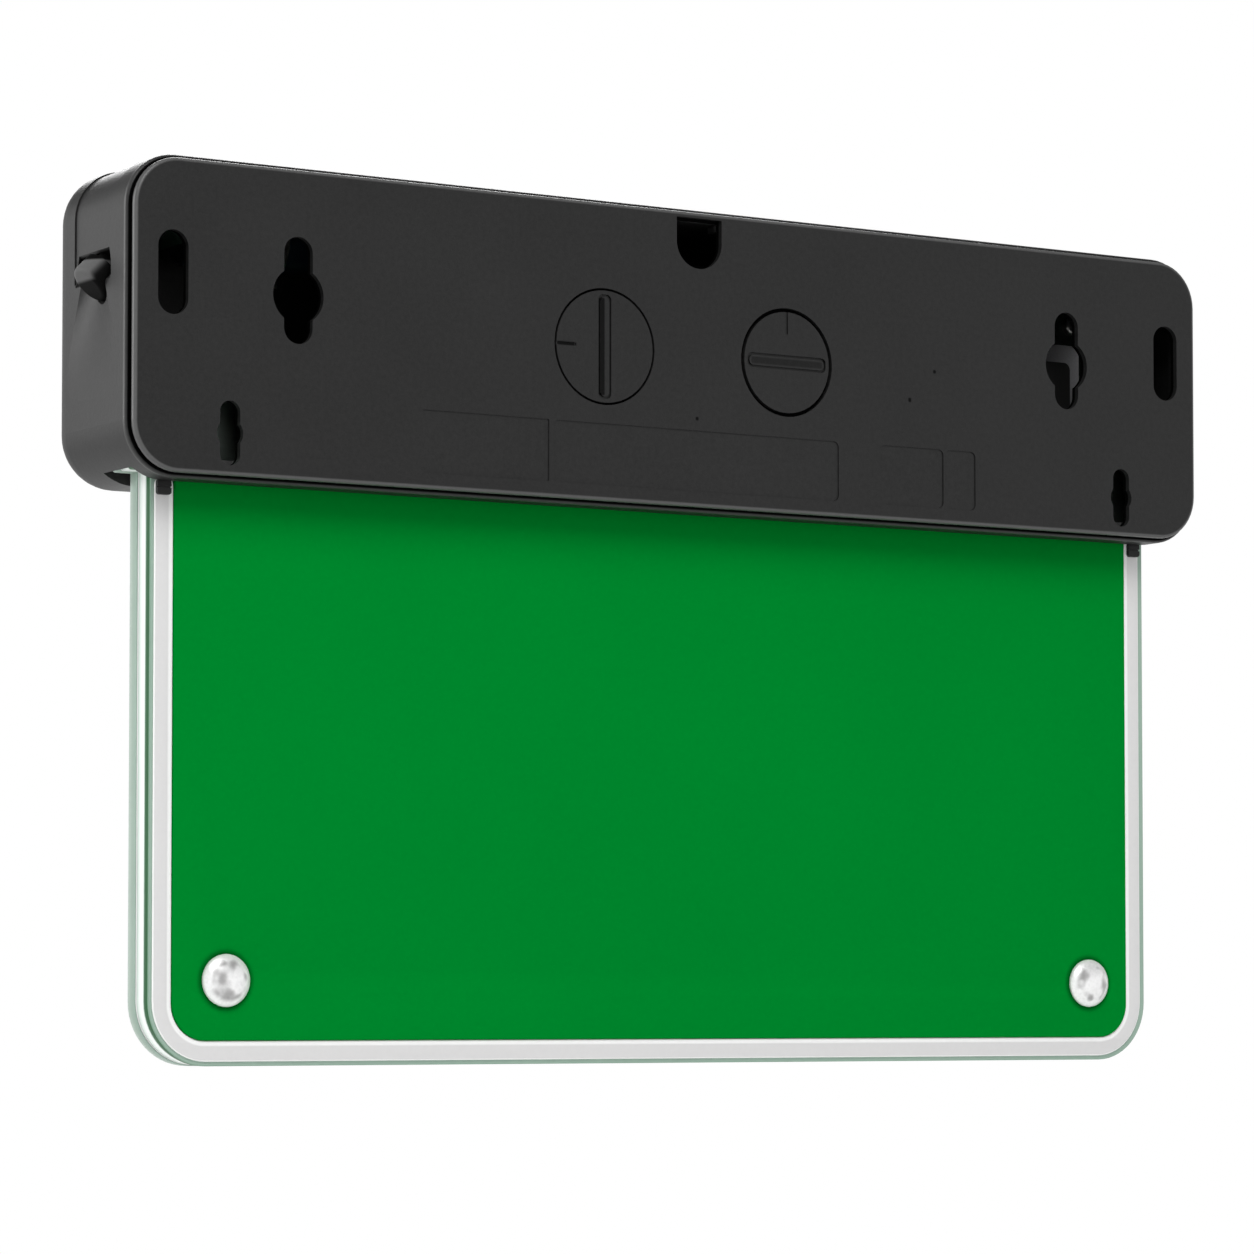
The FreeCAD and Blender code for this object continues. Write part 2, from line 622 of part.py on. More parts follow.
def driver_holes():
    """Centres of the four holes at the driver board's corners."""
    low_x, high_x = DRIVER_START_X + DRIVER_HOLE_INSET, DRIVER_START_X + DRIVER_LENGTH - DRIVER_HOLE_INSET
    low_z, high_z = DRIVER_TOP_Z - DRIVER_HEIGHT + DRIVER_HOLE_INSET, DRIVER_TOP_Z - DRIVER_HOLE_INSET
    return [(x, z) for x in (low_x, high_x) for z in (low_z, high_z)]


def channel_screw_places():
    """X places of the screws that hold the channel and the sheets."""
    middle = (CHANNEL_SCREW_COUNT - 1) / 2
    return [CHANNEL_SCREW_PITCH * (index - middle) for index in range(CHANNEL_SCREW_COUNT)]


def saddle_places():
    """X places of the battery saddles, under the middles of the first and last cells."""
    return [BATTERY_END_X - CELL_LENGTH / 2, BATTERY_END_X - BATTERY_LENGTH + CELL_LENGTH / 2]


def saddle(x):
    """Rib of the shell that cradles the battery's front half."""
    half = CELL_RADIUS + STRAP_FOOT
    rib = block(x - SADDLE_THICKNESS / 2, x + SADDLE_THICKNESS / 2, FRONT_WALL_Y - WALL / 2, BATTERY_Y,
                BATTERY_Z - half, BATTERY_Z + half)
    bed = Part.makeCylinder(CELL_RADIUS + SADDLE_CLEARANCE, SADDLE_THICKNESS + 2 * PAST,
                            Vector(x - SADDLE_THICKNESS / 2 - PAST, BATTERY_Y, BATTERY_Z), X_AXIS)
    return rib.cut(bed)


def front_shell():
    """Moulded housing, open at the back, with its panel slot, button well, bosses and saddles."""
    body = shell_form(0, SEAT_Y)
    body = body.makeFillet(REAR_EDGE_RADIUS, edges_at_y(body, SEAT_Y))
    shell = body.cut(shell_form(WALL, SEAT_Y + PAST))

    inside = [well_boss()]
    pilots = []
    for x, z in driver_holes():
        inside.append(rod(x, z, BOSS_RADIUS, DRIVER_Y, FRONT_WALL_Y - WALL / 2))
        pilots.append(rod(x, z, BOARD_SCREW_RADIUS + PILOT_CLEARANCE, DRIVER_Y + PAST,
                          DRIVER_Y - BOARD_SCREW_BITE - PAST))
    for x in channel_screw_places():
        inside.append(rod(x, CHANNEL_SCREW_Z, BOSS_RADIUS, CHANNEL_FRONT_Y, FRONT_WALL_Y - WALL / 2))
        pilots.append(rod(x, CHANNEL_SCREW_Z, CHANNEL_SCREW_RADIUS + PILOT_CLEARANCE, CHANNEL_FRONT_Y + PAST,
                          CHANNEL_FRONT_Y - CHANNEL_SCREW_BITE - PAST))
    inside += [saddle(x) for x in saddle_places()]
    for side in (-1, 1):
        pilots.append(axial(SWITCH_SCREW_RADIUS + PILOT_CLEARANCE, switch_board_start() - PAST,
                            switch_board_start() + BOARD_SCREW_BITE + PAST, side * SWITCH_POST_OFFSET))
    core = shell_form(WALL / 2, SEAT_Y - LIP_DEPTH)
    shell = merged([shell] + [piece.common(core) for piece in inside])
    for cutters in ([slot_keepout()], pilots, snap_ridges(SNAP_CLEARANCE)):
        shell = shell.cut(Part.makeCompound(cutters))
    return shell.cut(merged(button_well_cutters()))


# Sign panel

def sheet_corners(inset=0.0):
    """Outline of a panel sheet: round lower corners, straight sides and ears at the top."""
    x = PANEL_X - inset
    ear = x + EAR_LENGTH
    low, radius = PANEL_BOTTOM_Z + inset, PANEL_CORNER - inset
    return [(-x, low, radius), (x, low, radius), (x, EAR_BOTTOM_Z, 0), (ear, EAR_BOTTOM_Z, EAR_CORNER),
            (ear, SHEET_TOP_Z, EAR_CORNER), (-ear, SHEET_TOP_Z, EAR_CORNER),
            (-ear, EAR_BOTTOM_Z, EAR_CORNER), (-x, EAR_BOTTOM_Z, 0)]


def fixing_cutters(y_back, y_front):
    """Clearance holes for the channel screws, the corner screws and the top screws."""
    places = [(x, CHANNEL_SCREW_Z, CHANNEL_SCREW_RADIUS) for x in channel_screw_places()]
    for side in (-1, 1):
        places.append((side * CAP_X, CAP_Z, PANEL_SCREW_RADIUS))
        places.append((top_screw_x(side), top_screw_z(), TOP_SCREW_RADIUS))
    return Part.makeCompound([rod(x, z, radius + HOLE_CLEARANCE, y_back + PAST, y_front - PAST)
                              for x, z, radius in places])


def sheet(y_back, thickness, inset=0.0):
    """One sheet of the pack, with its fixing holes."""
    y_front = y_back - thickness
    return prism(sheet_corners(inset), y_back, y_front).cut(fixing_cutters(y_back, y_front))


def border_bounds():
    """Outer sides of the white border: low x, high x and low z."""
    return -PANEL_X + BORDER_MARGIN_FAR, PANEL_X - BORDER_MARGIN_NEAR, PANEL_BOTTOM_Z + BORDER_MARGIN_BELOW


def border_top_z():
    """Top of the white border, just under the back plate's lower edge."""
    return -TOP_Z + BORDER_GAP


def top_screw_x(side):
    """X of a small black screw in its leg of the border."""
    low, high, _ = border_bounds()
    return high - TOP_SCREW_INSET if side > 0 else low + TOP_SCREW_INSET


def top_screw_z():
    """Height of the two small black screws."""
    return -TOP_Z - TOP_SCREW_DROP


def green_corners(grow=0.0):
    """Outline of the green field inside the border."""
    low_x, high_x, low_z = border_bounds()
    x0, x1 = low_x + BORDER_WIDTH + BORDER_GAP - grow, high_x - BORDER_WIDTH - BORDER_GAP + grow
    z0 = low_z + BORDER_WIDTH + BORDER_GAP - grow
    return [(x0, z0, GREEN_CORNER + grow), (x1, z0, GREEN_CORNER + grow),
            (x1, EAR_BOTTOM_Z, 0), (x0, EAR_BOTTOM_Z, 0)]


def white_border():
    """U-shaped border with round ends at the top of its legs."""
    low_x, high_x, low_z = border_bounds()
    top = border_top_z()
    outer_radius = PANEL_CORNER - BORDER_MARGIN_BELOW
    end_radius = BORDER_WIDTH / 2 - BORDER_END_FLAT
    inner = green_corners(BORDER_GAP)
    corners = [(low_x, low_z, outer_radius), (high_x, low_z, outer_radius), (high_x, top, end_radius),
               (inner[1][0], top, end_radius), inner[1], inner[0], (inner[0][0], top, end_radius),
               (low_x, top, end_radius)]
    border = prism(corners, REAR_SHEET_Y + BORDER_THICKNESS, REAR_SHEET_Y)
    return border.cut(fixing_cutters(REAR_SHEET_Y + BORDER_THICKNESS, REAR_SHEET_Y))


def green_panel():
    """Plain green field, with holes for the corner screws."""
    panel = prism(green_corners(), GREEN_FACE_Y, REAR_SHEET_Y)
    return panel.cut(fixing_cutters(GREEN_FACE_Y, REAR_SHEET_Y))


def dome(x, z, y_seat, direction, height):
    """Low dome with a short straight rim, seated at y_seat and bulging along direction."""
    crown = height - CAP_RIM
    top = Vector(0, 0, height)
    shoulder = Vector(CAP_RADIUS, 0, CAP_RIM)
    sphere = (CAP_RADIUS ** 2 + crown ** 2) / (2 * crown)
    half_angle = math.asin(CAP_RADIUS / sphere) / 2
    centre_z = height - sphere
    middle = Vector(sphere * math.sin(half_angle), 0, centre_z + sphere * math.cos(half_angle))
    profile = Part.Wire([Part.LineSegment(Vector(0, 0, 0), Vector(CAP_RADIUS, 0, 0)).toShape(),
                         Part.LineSegment(Vector(CAP_RADIUS, 0, 0), shoulder).toShape(),
                         Part.Arc(shoulder, middle, top).toShape(),
                         Part.LineSegment(top, Vector(0, 0, 0)).toShape()])
    solid = Part.Face(profile).revolve(Vector(0, 0, 0), Vector(0, 0, 1), 360)
    solid.rotate(Vector(0, 0, 0), X_AXIS, -90 * direction)
    solid.translate(Vector(x, y_seat, z))
    return solid


def panel_cap_nut(side):
    """Domed cap nut on the back of the panel, bored for the corner screw."""
    nut = dome(side * CAP_X, CAP_Z, GREEN_FACE_Y, 1, CAP_HEIGHT)
    return nut.cut(rod(side * CAP_X, CAP_Z, PANEL_SCREW_RADIUS + PILOT_CLEARANCE,
                       GREEN_FACE_Y + PANEL_SCREW_GRIP, GREEN_FACE_Y - PAST))


def panel_screw(side):
    """Corner screw: domed head at the front and a shank into the cap nut."""
    head = dome(side * CAP_X, CAP_Z, PACK_FRONT_Y, -1, SCREW_HEAD_HEIGHT)
    shank = rod(side * CAP_X, CAP_Z, PANEL_SCREW_RADIUS, GREEN_FACE_Y + PANEL_SCREW_GRIP - PILOT_CLEARANCE,
                PACK_FRONT_Y)
    return merged([head, shank])


def panel_top_screw(side):
    """Small black screw through the border and the pack, with a square head and one slit."""
    x, z, seat = top_screw_x(side), top_screw_z(), REAR_SHEET_Y + BORDER_THICKNESS
    half = TOP_SCREW_HEAD_SIDE / 2
    head = prism(rectangle(x - half, x + half, z - half, z + half, TOP_SCREW_HEAD_CORNER),
                 seat + TOP_SCREW_HEAD_HEIGHT, seat)
    slit = block(x - half, x + half, seat + TOP_SCREW_HEAD_HEIGHT / 2, seat + TOP_SCREW_HEAD_HEIGHT + PAST,
                 z - TOP_SCREW_SLIT / 2, z + TOP_SCREW_SLIT / 2)
    return merged([head.cut(slit), rod(x, z, TOP_SCREW_RADIUS, seat, PACK_FRONT_Y)])


# Channel and light source

def panel_channel():
    """Inverted channel over the sheets' top edges, open below."""
    base = FLOOR_Z + CHANNEL_LIFT
    outer = block(-CHANNEL_X, CHANNEL_X, CHANNEL_FRONT_Y, CHANNEL_REAR_Y, base, CHANNEL_TOP_Z)
    long_top_edges = [edge for edge in outer.Edges
                      if edge.BoundBox.XLength > CHANNEL_X and edge.BoundBox.ZMin > base + CHANNEL_WALL]
    outer = outer.makeFillet(CHANNEL_EDGE_RADIUS, long_top_edges)
    inner = block(-CHANNEL_X - PAST, CHANNEL_X + PAST, CHANNEL_FRONT_Y + CHANNEL_WALL,
                  CHANNEL_REAR_Y - CHANNEL_WALL, FLOOR_Z, CHANNEL_TOP_Z - CHANNEL_WALL)
    landing = led_lead_landing()
    half_x, half_y = LED_LEAD_HOLE_LENGTH / 2, LED_BOARD_WIDTH / 2
    lead_hole = block(landing.x - half_x, landing.x + half_x, landing.y - half_y, landing.y + half_y,
                      FLOOR_Z, CHANNEL_TOP_Z + PAST)
    return outer.cut(inner).cut(fixing_cutters(CHANNEL_REAR_Y, CHANNEL_FRONT_Y)).cut(lead_hole)


def channel_screw(x):
    """Pan-head screw from the back through channel and sheets into a boss of the shell."""
    head = rod(x, CHANNEL_SCREW_Z, CHANNEL_SCREW_HEAD_RADIUS, CHANNEL_REAR_Y + CHANNEL_SCREW_HEAD_HEIGHT,
               CHANNEL_REAR_Y)
    head = head.makeFillet(CHANNEL_SCREW_HEAD_HEIGHT / 2,
                           edges_at_y(head, CHANNEL_REAR_Y + CHANNEL_SCREW_HEAD_HEIGHT))
    tip = CHANNEL_FRONT_Y - CHANNEL_SCREW_BITE
    return merged([head, rod(x, CHANNEL_SCREW_Z, CHANNEL_SCREW_RADIUS, CHANNEL_REAR_Y, tip)])


def led_row_y():
    """Middle of the light guide's thickness, where the LEDs look down."""
    return LIGHT_GUIDE_Y - LIGHT_GUIDE_THICKNESS / 2


def led_board():
    """Narrow strip board under the channel's web."""
    half = LED_BOARD_WIDTH / 2
    end = CHANNEL_X - LED_BOARD_END_GAP
    return block(-end, end, led_row_y() - half, led_row_y() + half,
                 LED_BOARD_Z, LED_BOARD_Z + LED_BOARD_THICKNESS)


def leds():
    """Row of LED packages on the underside of the strip board."""
    count = int((2 * (CHANNEL_X - LED_BOARD_END_GAP) - LED_LENGTH) / LED_PITCH) + 1
    first = -(count - 1) * LED_PITCH / 2
    packages = []
    for index in range(count):
        x = first + index * LED_PITCH
        packages.append(block(x - LED_LENGTH / 2, x + LED_LENGTH / 2, led_row_y() - LED_WIDTH / 2,
                              led_row_y() + LED_WIDTH / 2, LED_BOARD_Z - LED_HEIGHT, LED_BOARD_Z))
    return Part.makeCompound(packages)


# Test button and its switch

def flange_start():
    """Inner face of the button's flange along its axis."""
    return -WELL_DEPTH - WELL_FLOOR - BUTTON_CLEARANCE - BUTTON_FLANGE_THICKNESS


def switch_top():
    """Face of the push switch towards the button."""
    return flange_start() - SWITCH_GAP


def switch_board_start():
    """Face of the switch board that the switch and the posts sit on."""
    return switch_top() - SWITCH_HEIGHT


def test_button():
    """Round-tipped button on a thinner neck, with a flange behind the well's floor."""
    start = flange_start()
    shoulder = BUTTON_REACH - BUTTON_HEAD_LENGTH
    head = Part.makeCylinder(BUTTON_RADIUS, BUTTON_HEAD_LENGTH, X_AXIS * shoulder, X_AXIS)
    tip = [edge for edge in head.Edges if edge.BoundBox.XMin > BUTTON_REACH - 1e-4]
    head = head.makeFillet(BUTTON_TIP_RADIUS, tip)
    neck_length = BUTTON_REACH - BUTTON_TIP_RADIUS - start
    neck = Part.makeCylinder(BUTTON_NECK_RADIUS, neck_length, X_AXIS * start, X_AXIS)
    flange = Part.makeCylinder(BUTTON_FLANGE_RADIUS, BUTTON_FLANGE_THICKNESS, X_AXIS * start, X_AXIS)
    return on_button_axis(merged([head, neck, flange]))


def switch_plunger():
    """Plunger that the button pushes into the switch."""
    return axial(PLUNGER_RADIUS, flange_start() - PLUNGER_LENGTH, flange_start())


def push_switch():
    """Switch body with the bore that its plunger enters."""
    half = SWITCH_SIDE / 2
    body = axial_box(switch_board_start(), switch_top(), half, half)
    return body.cut(axial(PLUNGER_RADIUS + PLUNGER_CLEARANCE, switch_board_start() + SWITCH_FLOOR,
                          switch_top() + PAST))


def switch_board():
    """Small board across the two posts."""
    board = axial_box(switch_board_start() - BOARD_THICKNESS, switch_board_start(), SWITCH_BOARD_LENGTH / 2,
                      SWITCH_BOARD_WIDTH / 2)
    holes = [axial(SWITCH_SCREW_RADIUS + HOLE_CLEARANCE, switch_board_start() - BOARD_THICKNESS - PAST,
                   switch_board_start() + PAST, side * SWITCH_POST_OFFSET) for side in (-1, 1)]
    return board.cut(Part.makeCompound(holes))


def switch_screw(side):
    """Small pan-head screw from the inner side of the switch board."""
    seat = switch_board_start() - BOARD_THICKNESS
    y = side * SWITCH_POST_OFFSET
    return merged([axial(SWITCH_SCREW_HEAD_RADIUS, seat - SWITCH_SCREW_HEAD_HEIGHT, seat, y),
                   axial(SWITCH_SCREW_RADIUS, seat, switch_board_start() + BOARD_SCREW_BITE, y)])


# Driver board

def driver_board():
    """Circuit board on four bosses of the shell's front wall."""
    board = prism(rectangle(DRIVER_START_X, DRIVER_START_X + DRIVER_LENGTH, DRIVER_TOP_Z - DRIVER_HEIGHT,
                            DRIVER_TOP_Z, DRIVER_CORNER), DRIVER_FACE_Y, DRIVER_Y)
    holes = [rod(x, z, BOARD_SCREW_RADIUS + HOLE_CLEARANCE, DRIVER_FACE_Y + PAST, DRIVER_Y - PAST)
             for x, z in driver_holes()]
    return board.cut(Part.makeCompound(holes))


def board_screw(x, z):
    """Pan-head screw that holds a corner of the driver board."""
    head = rod(x, z, BOARD_SCREW_HEAD_RADIUS, DRIVER_FACE_Y + BOARD_SCREW_HEAD_HEIGHT, DRIVER_FACE_Y)
    head = head.makeFillet(BOARD_SCREW_HEAD_HEIGHT / 2,
                           edges_at_y(head, DRIVER_FACE_Y + BOARD_SCREW_HEAD_HEIGHT))
    return merged([head, rod(x, z, BOARD_SCREW_RADIUS, DRIVER_FACE_Y, DRIVER_Y - BOARD_SCREW_BITE)])


def transformer_place():
    """Centre of the transformer on the board: x and z."""
    x = DRIVER_START_X + DRIVER_HOLE_INSET * 2 + TRANSFORMER_GAP + TRANSFORMER_LENGTH / 2
    return x, DRIVER_TOP_Z - DRIVER_HEIGHT / 2


def transformer_end():
    """High x of the transformer, from which the parts beside it are placed."""
    return transformer_place()[0] + TRANSFORMER_LENGTH / 2


def transformer_window(side):
    """One of the two windows between the legs of the core."""
    x, z = transformer_place()
    inner, outer = TRANSFORMER_LEG / 2, TRANSFORMER_LENGTH / 2 - TRANSFORMER_LEG
    low, high = (x + inner, x + outer) if side > 0 else (x - outer, x - inner)
    half = TRANSFORMER_HEIGHT / 2 - TRANSFORMER_LEG
    return low, high, z - half, z + half


def transformer_stack_y():
    """Back and front planes of the core's stack of sheets."""
    middle = DRIVER_FACE_Y + TRANSFORMER_DEPTH / 2
    return middle + TRANSFORMER_STACK / 2, middle - TRANSFORMER_STACK / 2


def transformer_core():
    """Laminated core with a centre leg and two windows."""
    x, z = transformer_place()
    back, front = transformer_stack_y()
    half_x, half_z = TRANSFORMER_LENGTH / 2, TRANSFORMER_HEIGHT / 2
    core = prism(rectangle(x - half_x, x + half_x, z - half_z, z + half_z), back, front)
    for side in (-1, 1):
        low, high, z0, z1 = transformer_window(side)
        core = core.cut(block(low, high, front - PAST, back + PAST, z0, z1))
    return core


def transformer_coil():
    """Winding and bobbin round the centre leg, standing on the board by its bobbin foot."""
    x, _ = transformer_place()
    back, front = transformer_stack_y()
    _, outer, z0, z1 = transformer_window(1)
    half = outer - x - COIL_CLEARANCE
    coil = prism(rectangle(x - half, x + half, z0 + COIL_CLEARANCE, z1 - COIL_CLEARANCE, COIL_CORNER),
                 back + COIL_PROUD, DRIVER_FACE_Y)
    gap = COIL_CORE_CLEARANCE
    half = TRANSFORMER_LEG / 2 + gap
    return coil.cut(block(x - half, x + half, front - gap, back + gap, z0, z1))


def capacitor(index):
    """Upright electrolytic capacitor with a crimped groove near its foot."""
    x = transformer_end() + CAPACITOR_GAP + index * CAPACITOR_PITCH
    z = transformer_place()[1] - CAPACITOR_DROP
    top = DRIVER_FACE_Y + CAPACITOR_LENGTH
    can = rod(x, z, CAPACITOR_RADIUS, top, DRIVER_FACE_Y)
    can = can.makeFillet(CAPACITOR_EDGE_RADIUS, edges_at_y(can, top))
    crimp = DRIVER_FACE_Y + CRIMP_RISE
    waist = CAPACITOR_RADIUS - CRIMP_DEPTH
    return can.cut(ring(x, z, CAPACITOR_RADIUS + PAST, waist, crimp + CRIMP_WIDTH, crimp))


def terminal_place():
    """Low x of the terminal block and its top z, near the cable notch."""
    x = DRIVER_START_X + DRIVER_LENGTH - DRIVER_HOLE_INSET * 2 - TERMINAL_LENGTH
    return x, DRIVER_TOP_Z - TERMINAL_DROP


def terminal_block():
    """Mains terminal block with wire mouths on top and screw holes behind."""
    x, top = terminal_place()
    back = DRIVER_FACE_Y + TERMINAL_DEPTH
    body = block(x, x + TERMINAL_LENGTH, DRIVER_FACE_Y, back, top - TERMINAL_HEIGHT, top)
    half = TERMINAL_MOUTH_WIDTH / 2
    low = DRIVER_FACE_Y + TERMINAL_MOUTH_RISE
    cuts = []
    for way in range(TERMINAL_WAYS):
        centre = x + TERMINAL_LENGTH / TERMINAL_WAYS * (way + 0.5)
        cuts.append(rod(centre, top - TERMINAL_HEIGHT / 2, TERMINAL_SCREW_RADIUS, back + PAST,
                        back - TERMINAL_SCREW_DEPTH))
        cuts.append(block(centre - half, centre + half, low, low + TERMINAL_MOUTH_HEIGHT,
                          top - TERMINAL_MOUTH_DEPTH, top + PAST))
    return body.cut(Part.makeCompound(cuts))


def board_part(x, z, length, height, depth):
    """Plain encapsulated component standing on the driver board."""
    outline = rectangle(x, x + length, z, z + height, PACKAGE_CORNER)
    return prism(outline, DRIVER_FACE_Y + depth, DRIVER_FACE_Y)


def relay_place():
    """Low x and low z of the relay, beside the transformer."""
    return transformer_end() + RELAY_GAP, DRIVER_TOP_Z - RELAY_DROP


def relay():
    """Transfer relay that switches the lamp to the battery."""
    return board_part(*relay_place(), RELAY_LENGTH, RELAY_HEIGHT, RELAY_DEPTH)


def driver_chip():
    """Driver chip in a flat moulded package, under the middle of the relay."""
    x, z = relay_place()
    return board_part(x + (RELAY_LENGTH - CHIP_LENGTH) / 2, z - CHIP_GAP - CHIP_HEIGHT,
                      CHIP_LENGTH, CHIP_HEIGHT, CHIP_DEPTH)


def diodes():
    """Rectifier diodes in a row above the board's lower edge."""
    first = Vector(transformer_end() + DIODE_GAP, DRIVER_FACE_Y + DIODE_RADIUS,
                   DRIVER_TOP_Z - DRIVER_HEIGHT + DIODE_RISE)
    bodies = []
    for index in range(DIODE_COUNT):
        start = first + X_AXIS * DIODE_PITCH * index
        bodies.append(Part.makeCylinder(DIODE_RADIUS, DIODE_LENGTH, start, X_AXIS))
    return Part.makeCompound(bodies)


def fuse():
    """Glass fuse body between its two end caps, lying on the board."""
    x, top = terminal_place()
    start = Vector(x, DRIVER_FACE_Y + FUSE_CAP_RADIUS, top - TERMINAL_HEIGHT - FUSE_GAP)
    pieces = [Part.makeCylinder(FUSE_RADIUS, TERMINAL_LENGTH, start, X_AXIS)]
    for shift in (0, TERMINAL_LENGTH - FUSE_CAP_LENGTH):
        pieces.append(Part.makeCylinder(FUSE_CAP_RADIUS, FUSE_CAP_LENGTH, start + X_AXIS * shift, X_AXIS))
    return merged(pieces)


def socket_place(index):
    """Low x and top z of a lead socket near the board's near edge."""
    x = DRIVER_START_X + DRIVER_LENGTH - SOCKET_SETBACK - SOCKET_LENGTH
    return x, DRIVER_TOP_Z - SOCKET_DROP - index * (SOCKET_HEIGHT + SOCKET_GAP)


def socket_mouth(index):
    """Middle of the floor of a socket's mouth, where its leads begin."""
    x, top = socket_place(index)
    return Vector(x + SOCKET_BACK, DRIVER_FACE_Y + SOCKET_DEPTH / 2, top - SOCKET_HEIGHT / 2)


def lead_socket(index):
    """Socket whose mouth points to the near end of the housing."""
    x, top = socket_place(index)
    low, face = top - SOCKET_HEIGHT, DRIVER_FACE_Y
    body = block(x, x + SOCKET_LENGTH, face, face + SOCKET_DEPTH, low, top)
    mouth = block(x + SOCKET_BACK, x + SOCKET_LENGTH + PAST, face + SOCKET_WALL,
                  face + SOCKET_DEPTH - SOCKET_WALL, low + SOCKET_WALL, top - SOCKET_WALL)
    return body.cut(mouth)


# Battery

def battery_pack():
    """Sealed stick of cells, with the shrink sleeve drawn in between them."""
    start = BATTERY_END_X - BATTERY_LENGTH
    waist = CELL_RADIUS - SLEEVE_WAIST
    points = [Vector(0, 0, 0), Vector(0, 0, waist)]
    for index in range(CELL_COUNT):
        low, high = index * CELL_LENGTH, (index + 1) * CELL_LENGTH
        points += [Vector(low + SLEEVE_SHOULDER, 0, CELL_RADIUS),
                   Vector(high - SLEEVE_SHOULDER, 0, CELL_RADIUS), Vector(high, 0, waist)]
    points.append(Vector(BATTERY_LENGTH, 0, 0))
    points.append(points[0])
    profile = Part.Face(Part.makePolygon(points))
    stick = profile.revolve(Vector(0, 0, 0), X_AXIS, 360)
    stick.translate(Vector(start, BATTERY_Y, BATTERY_Z))
    return stick


def battery_strap(x):
    """Hoop over the battery's back half, with feet on the ends of its saddle."""
    inner = CELL_RADIUS + SADDLE_CLEARANCE
    outer = inner + STRAP_THICKNESS
    x0, x1 = x - SADDLE_THICKNESS / 2, x + SADDLE_THICKNESS / 2
    base = Vector(x0, BATTERY_Y, BATTERY_Z)
    hoop = Part.makeCylinder(outer, SADDLE_THICKNESS, base, X_AXIS)
    hoop = hoop.cut(Part.makeCylinder(inner, SADDLE_THICKNESS, base, X_AXIS))
    hoop = hoop.common(block(x0, x1, BATTERY_Y, BATTERY_Y + outer, BATTERY_Z - outer, BATTERY_Z + outer))
    back = BATTERY_Y + STRAP_THICKNESS
    foot = block(x0, x1, BATTERY_Y, back, BATTERY_Z - CELL_RADIUS - STRAP_FOOT, BATTERY_Z - inner)
    head = block(x0, x1, BATTERY_Y, back, BATTERY_Z + inner, BATTERY_Z + outer)
    return merged([hoop, foot, head])


# Leads, as straight runs joined by tangent arcs

def lead(name, points):
    """Round lead along a route, bent to one radius unless a run is too short for it."""
    edges = []
    radii = []
    last = points[0]
    for index in range(1, len(points) - 1):
        here = points[index]
        to_here = (here - points[index - 1]).normalize()
        onward = (points[index + 1] - here).normalize()
        half_turn = to_here.getAngle(onward) / 2
        room_before = here.distanceToPoint(points[index - 1]) / (1 if index == 1 else 2)
        room_after = here.distanceToPoint(points[index + 1]) / (1 if index == len(points) - 2 else 2)
        radius = min(LEAD_BEND, 0.99 * min(room_before, room_after) / math.tan(half_turn))
        reach = radius * math.tan(half_turn)
        start, end = here - to_here * reach, here + onward * reach
        inward = (onward - to_here).normalize()
        middle = here + inward * (radius / math.cos(half_turn) - radius)
        if last.distanceToPoint(start) > 1e-3:
            edges.append(Part.LineSegment(last, start).toShape())
        edges.append(Part.Arc(start, middle, end).toShape())
        radii.append(round(radius, 2))
        last = end
    edges.append(Part.LineSegment(last, points[-1]).toShape())
    print(f"{name}: bend radii {radii} mm at a diameter of {2 * LEAD_RADIUS} mm")
    direction = (points[1] - points[0]).normalize()
    profile = Part.Wire([Part.Circle(points[0], direction, LEAD_RADIUS).toShape()])
    return Part.Wire(edges).makePipeShell([profile], True, False)


def battery_lead(side):
    """Lead from the first socket, up past the driver board's edge and into the battery's far end."""
    start = socket_mouth(0) + Vector(0, side * LEAD_PITCH / 2, 0)
    riser_x = socket_place(0)[0] + SOCKET_LENGTH + LEAD_RISER_GAP
    landing = Vector(BATTERY_END_X - BATTERY_LENGTH - LEAD_SEAT_GAP, start.y, BATTERY_Z)
    return lead("battery_leads", [start, Vector(riser_x, start.y, start.z),
                                  Vector(riser_x, start.y, BATTERY_Z), landing])


def led_lead_landing():
    """Point over the LED board where its leads come down, at the height of the second socket."""
    start = socket_mouth(1)
    return Vector(start.x + SOCKET_LENGTH + LEAD_RISER_GAP + LED_LEAD_SWING, led_row_y(), start.z)


def led_lead(side):
    """Lead from the second socket through the channel's web onto the LED board."""
    shift = side * LEAD_PITCH / 2
    start = socket_mouth(1) + Vector(0, 0, shift)
    turn = socket_mouth(1) + Vector(SOCKET_LENGTH + LEAD_RISER_GAP, 0, 0)
    swing = (led_lead_landing() - turn).normalize()
    over = led_lead_landing() + swing * shift
    return lead("led_leads", [start, Vector(turn.x, turn.y, start.z), Vector(over.x, over.y, start.z),
                              Vector(over.x, over.y, LED_BOARD_Z + LED_BOARD_THICKNESS)])


def switch_lead(side):
    """Lead from the switch board's inner face along the housing to the driver board's near edge."""
    shift = side * LEAD_PITCH / 2
    seat = switch_board_start() - BOARD_THICKNESS
    start, up = [on_button_axis(Part.Vertex(Vector(x, shift, -SWITCH_LEAD_DROP))).Point
                 for x in (seat, seat - SWITCH_LEAD_RUN_UP)]
    land_x = DRIVER_START_X + DRIVER_LENGTH - SWITCH_LEAD_LAND_X - shift
    return lead("switch_leads", [start, up, Vector(land_x, up.y, up.z), Vector(land_x, DRIVER_FACE_Y, up.z)])


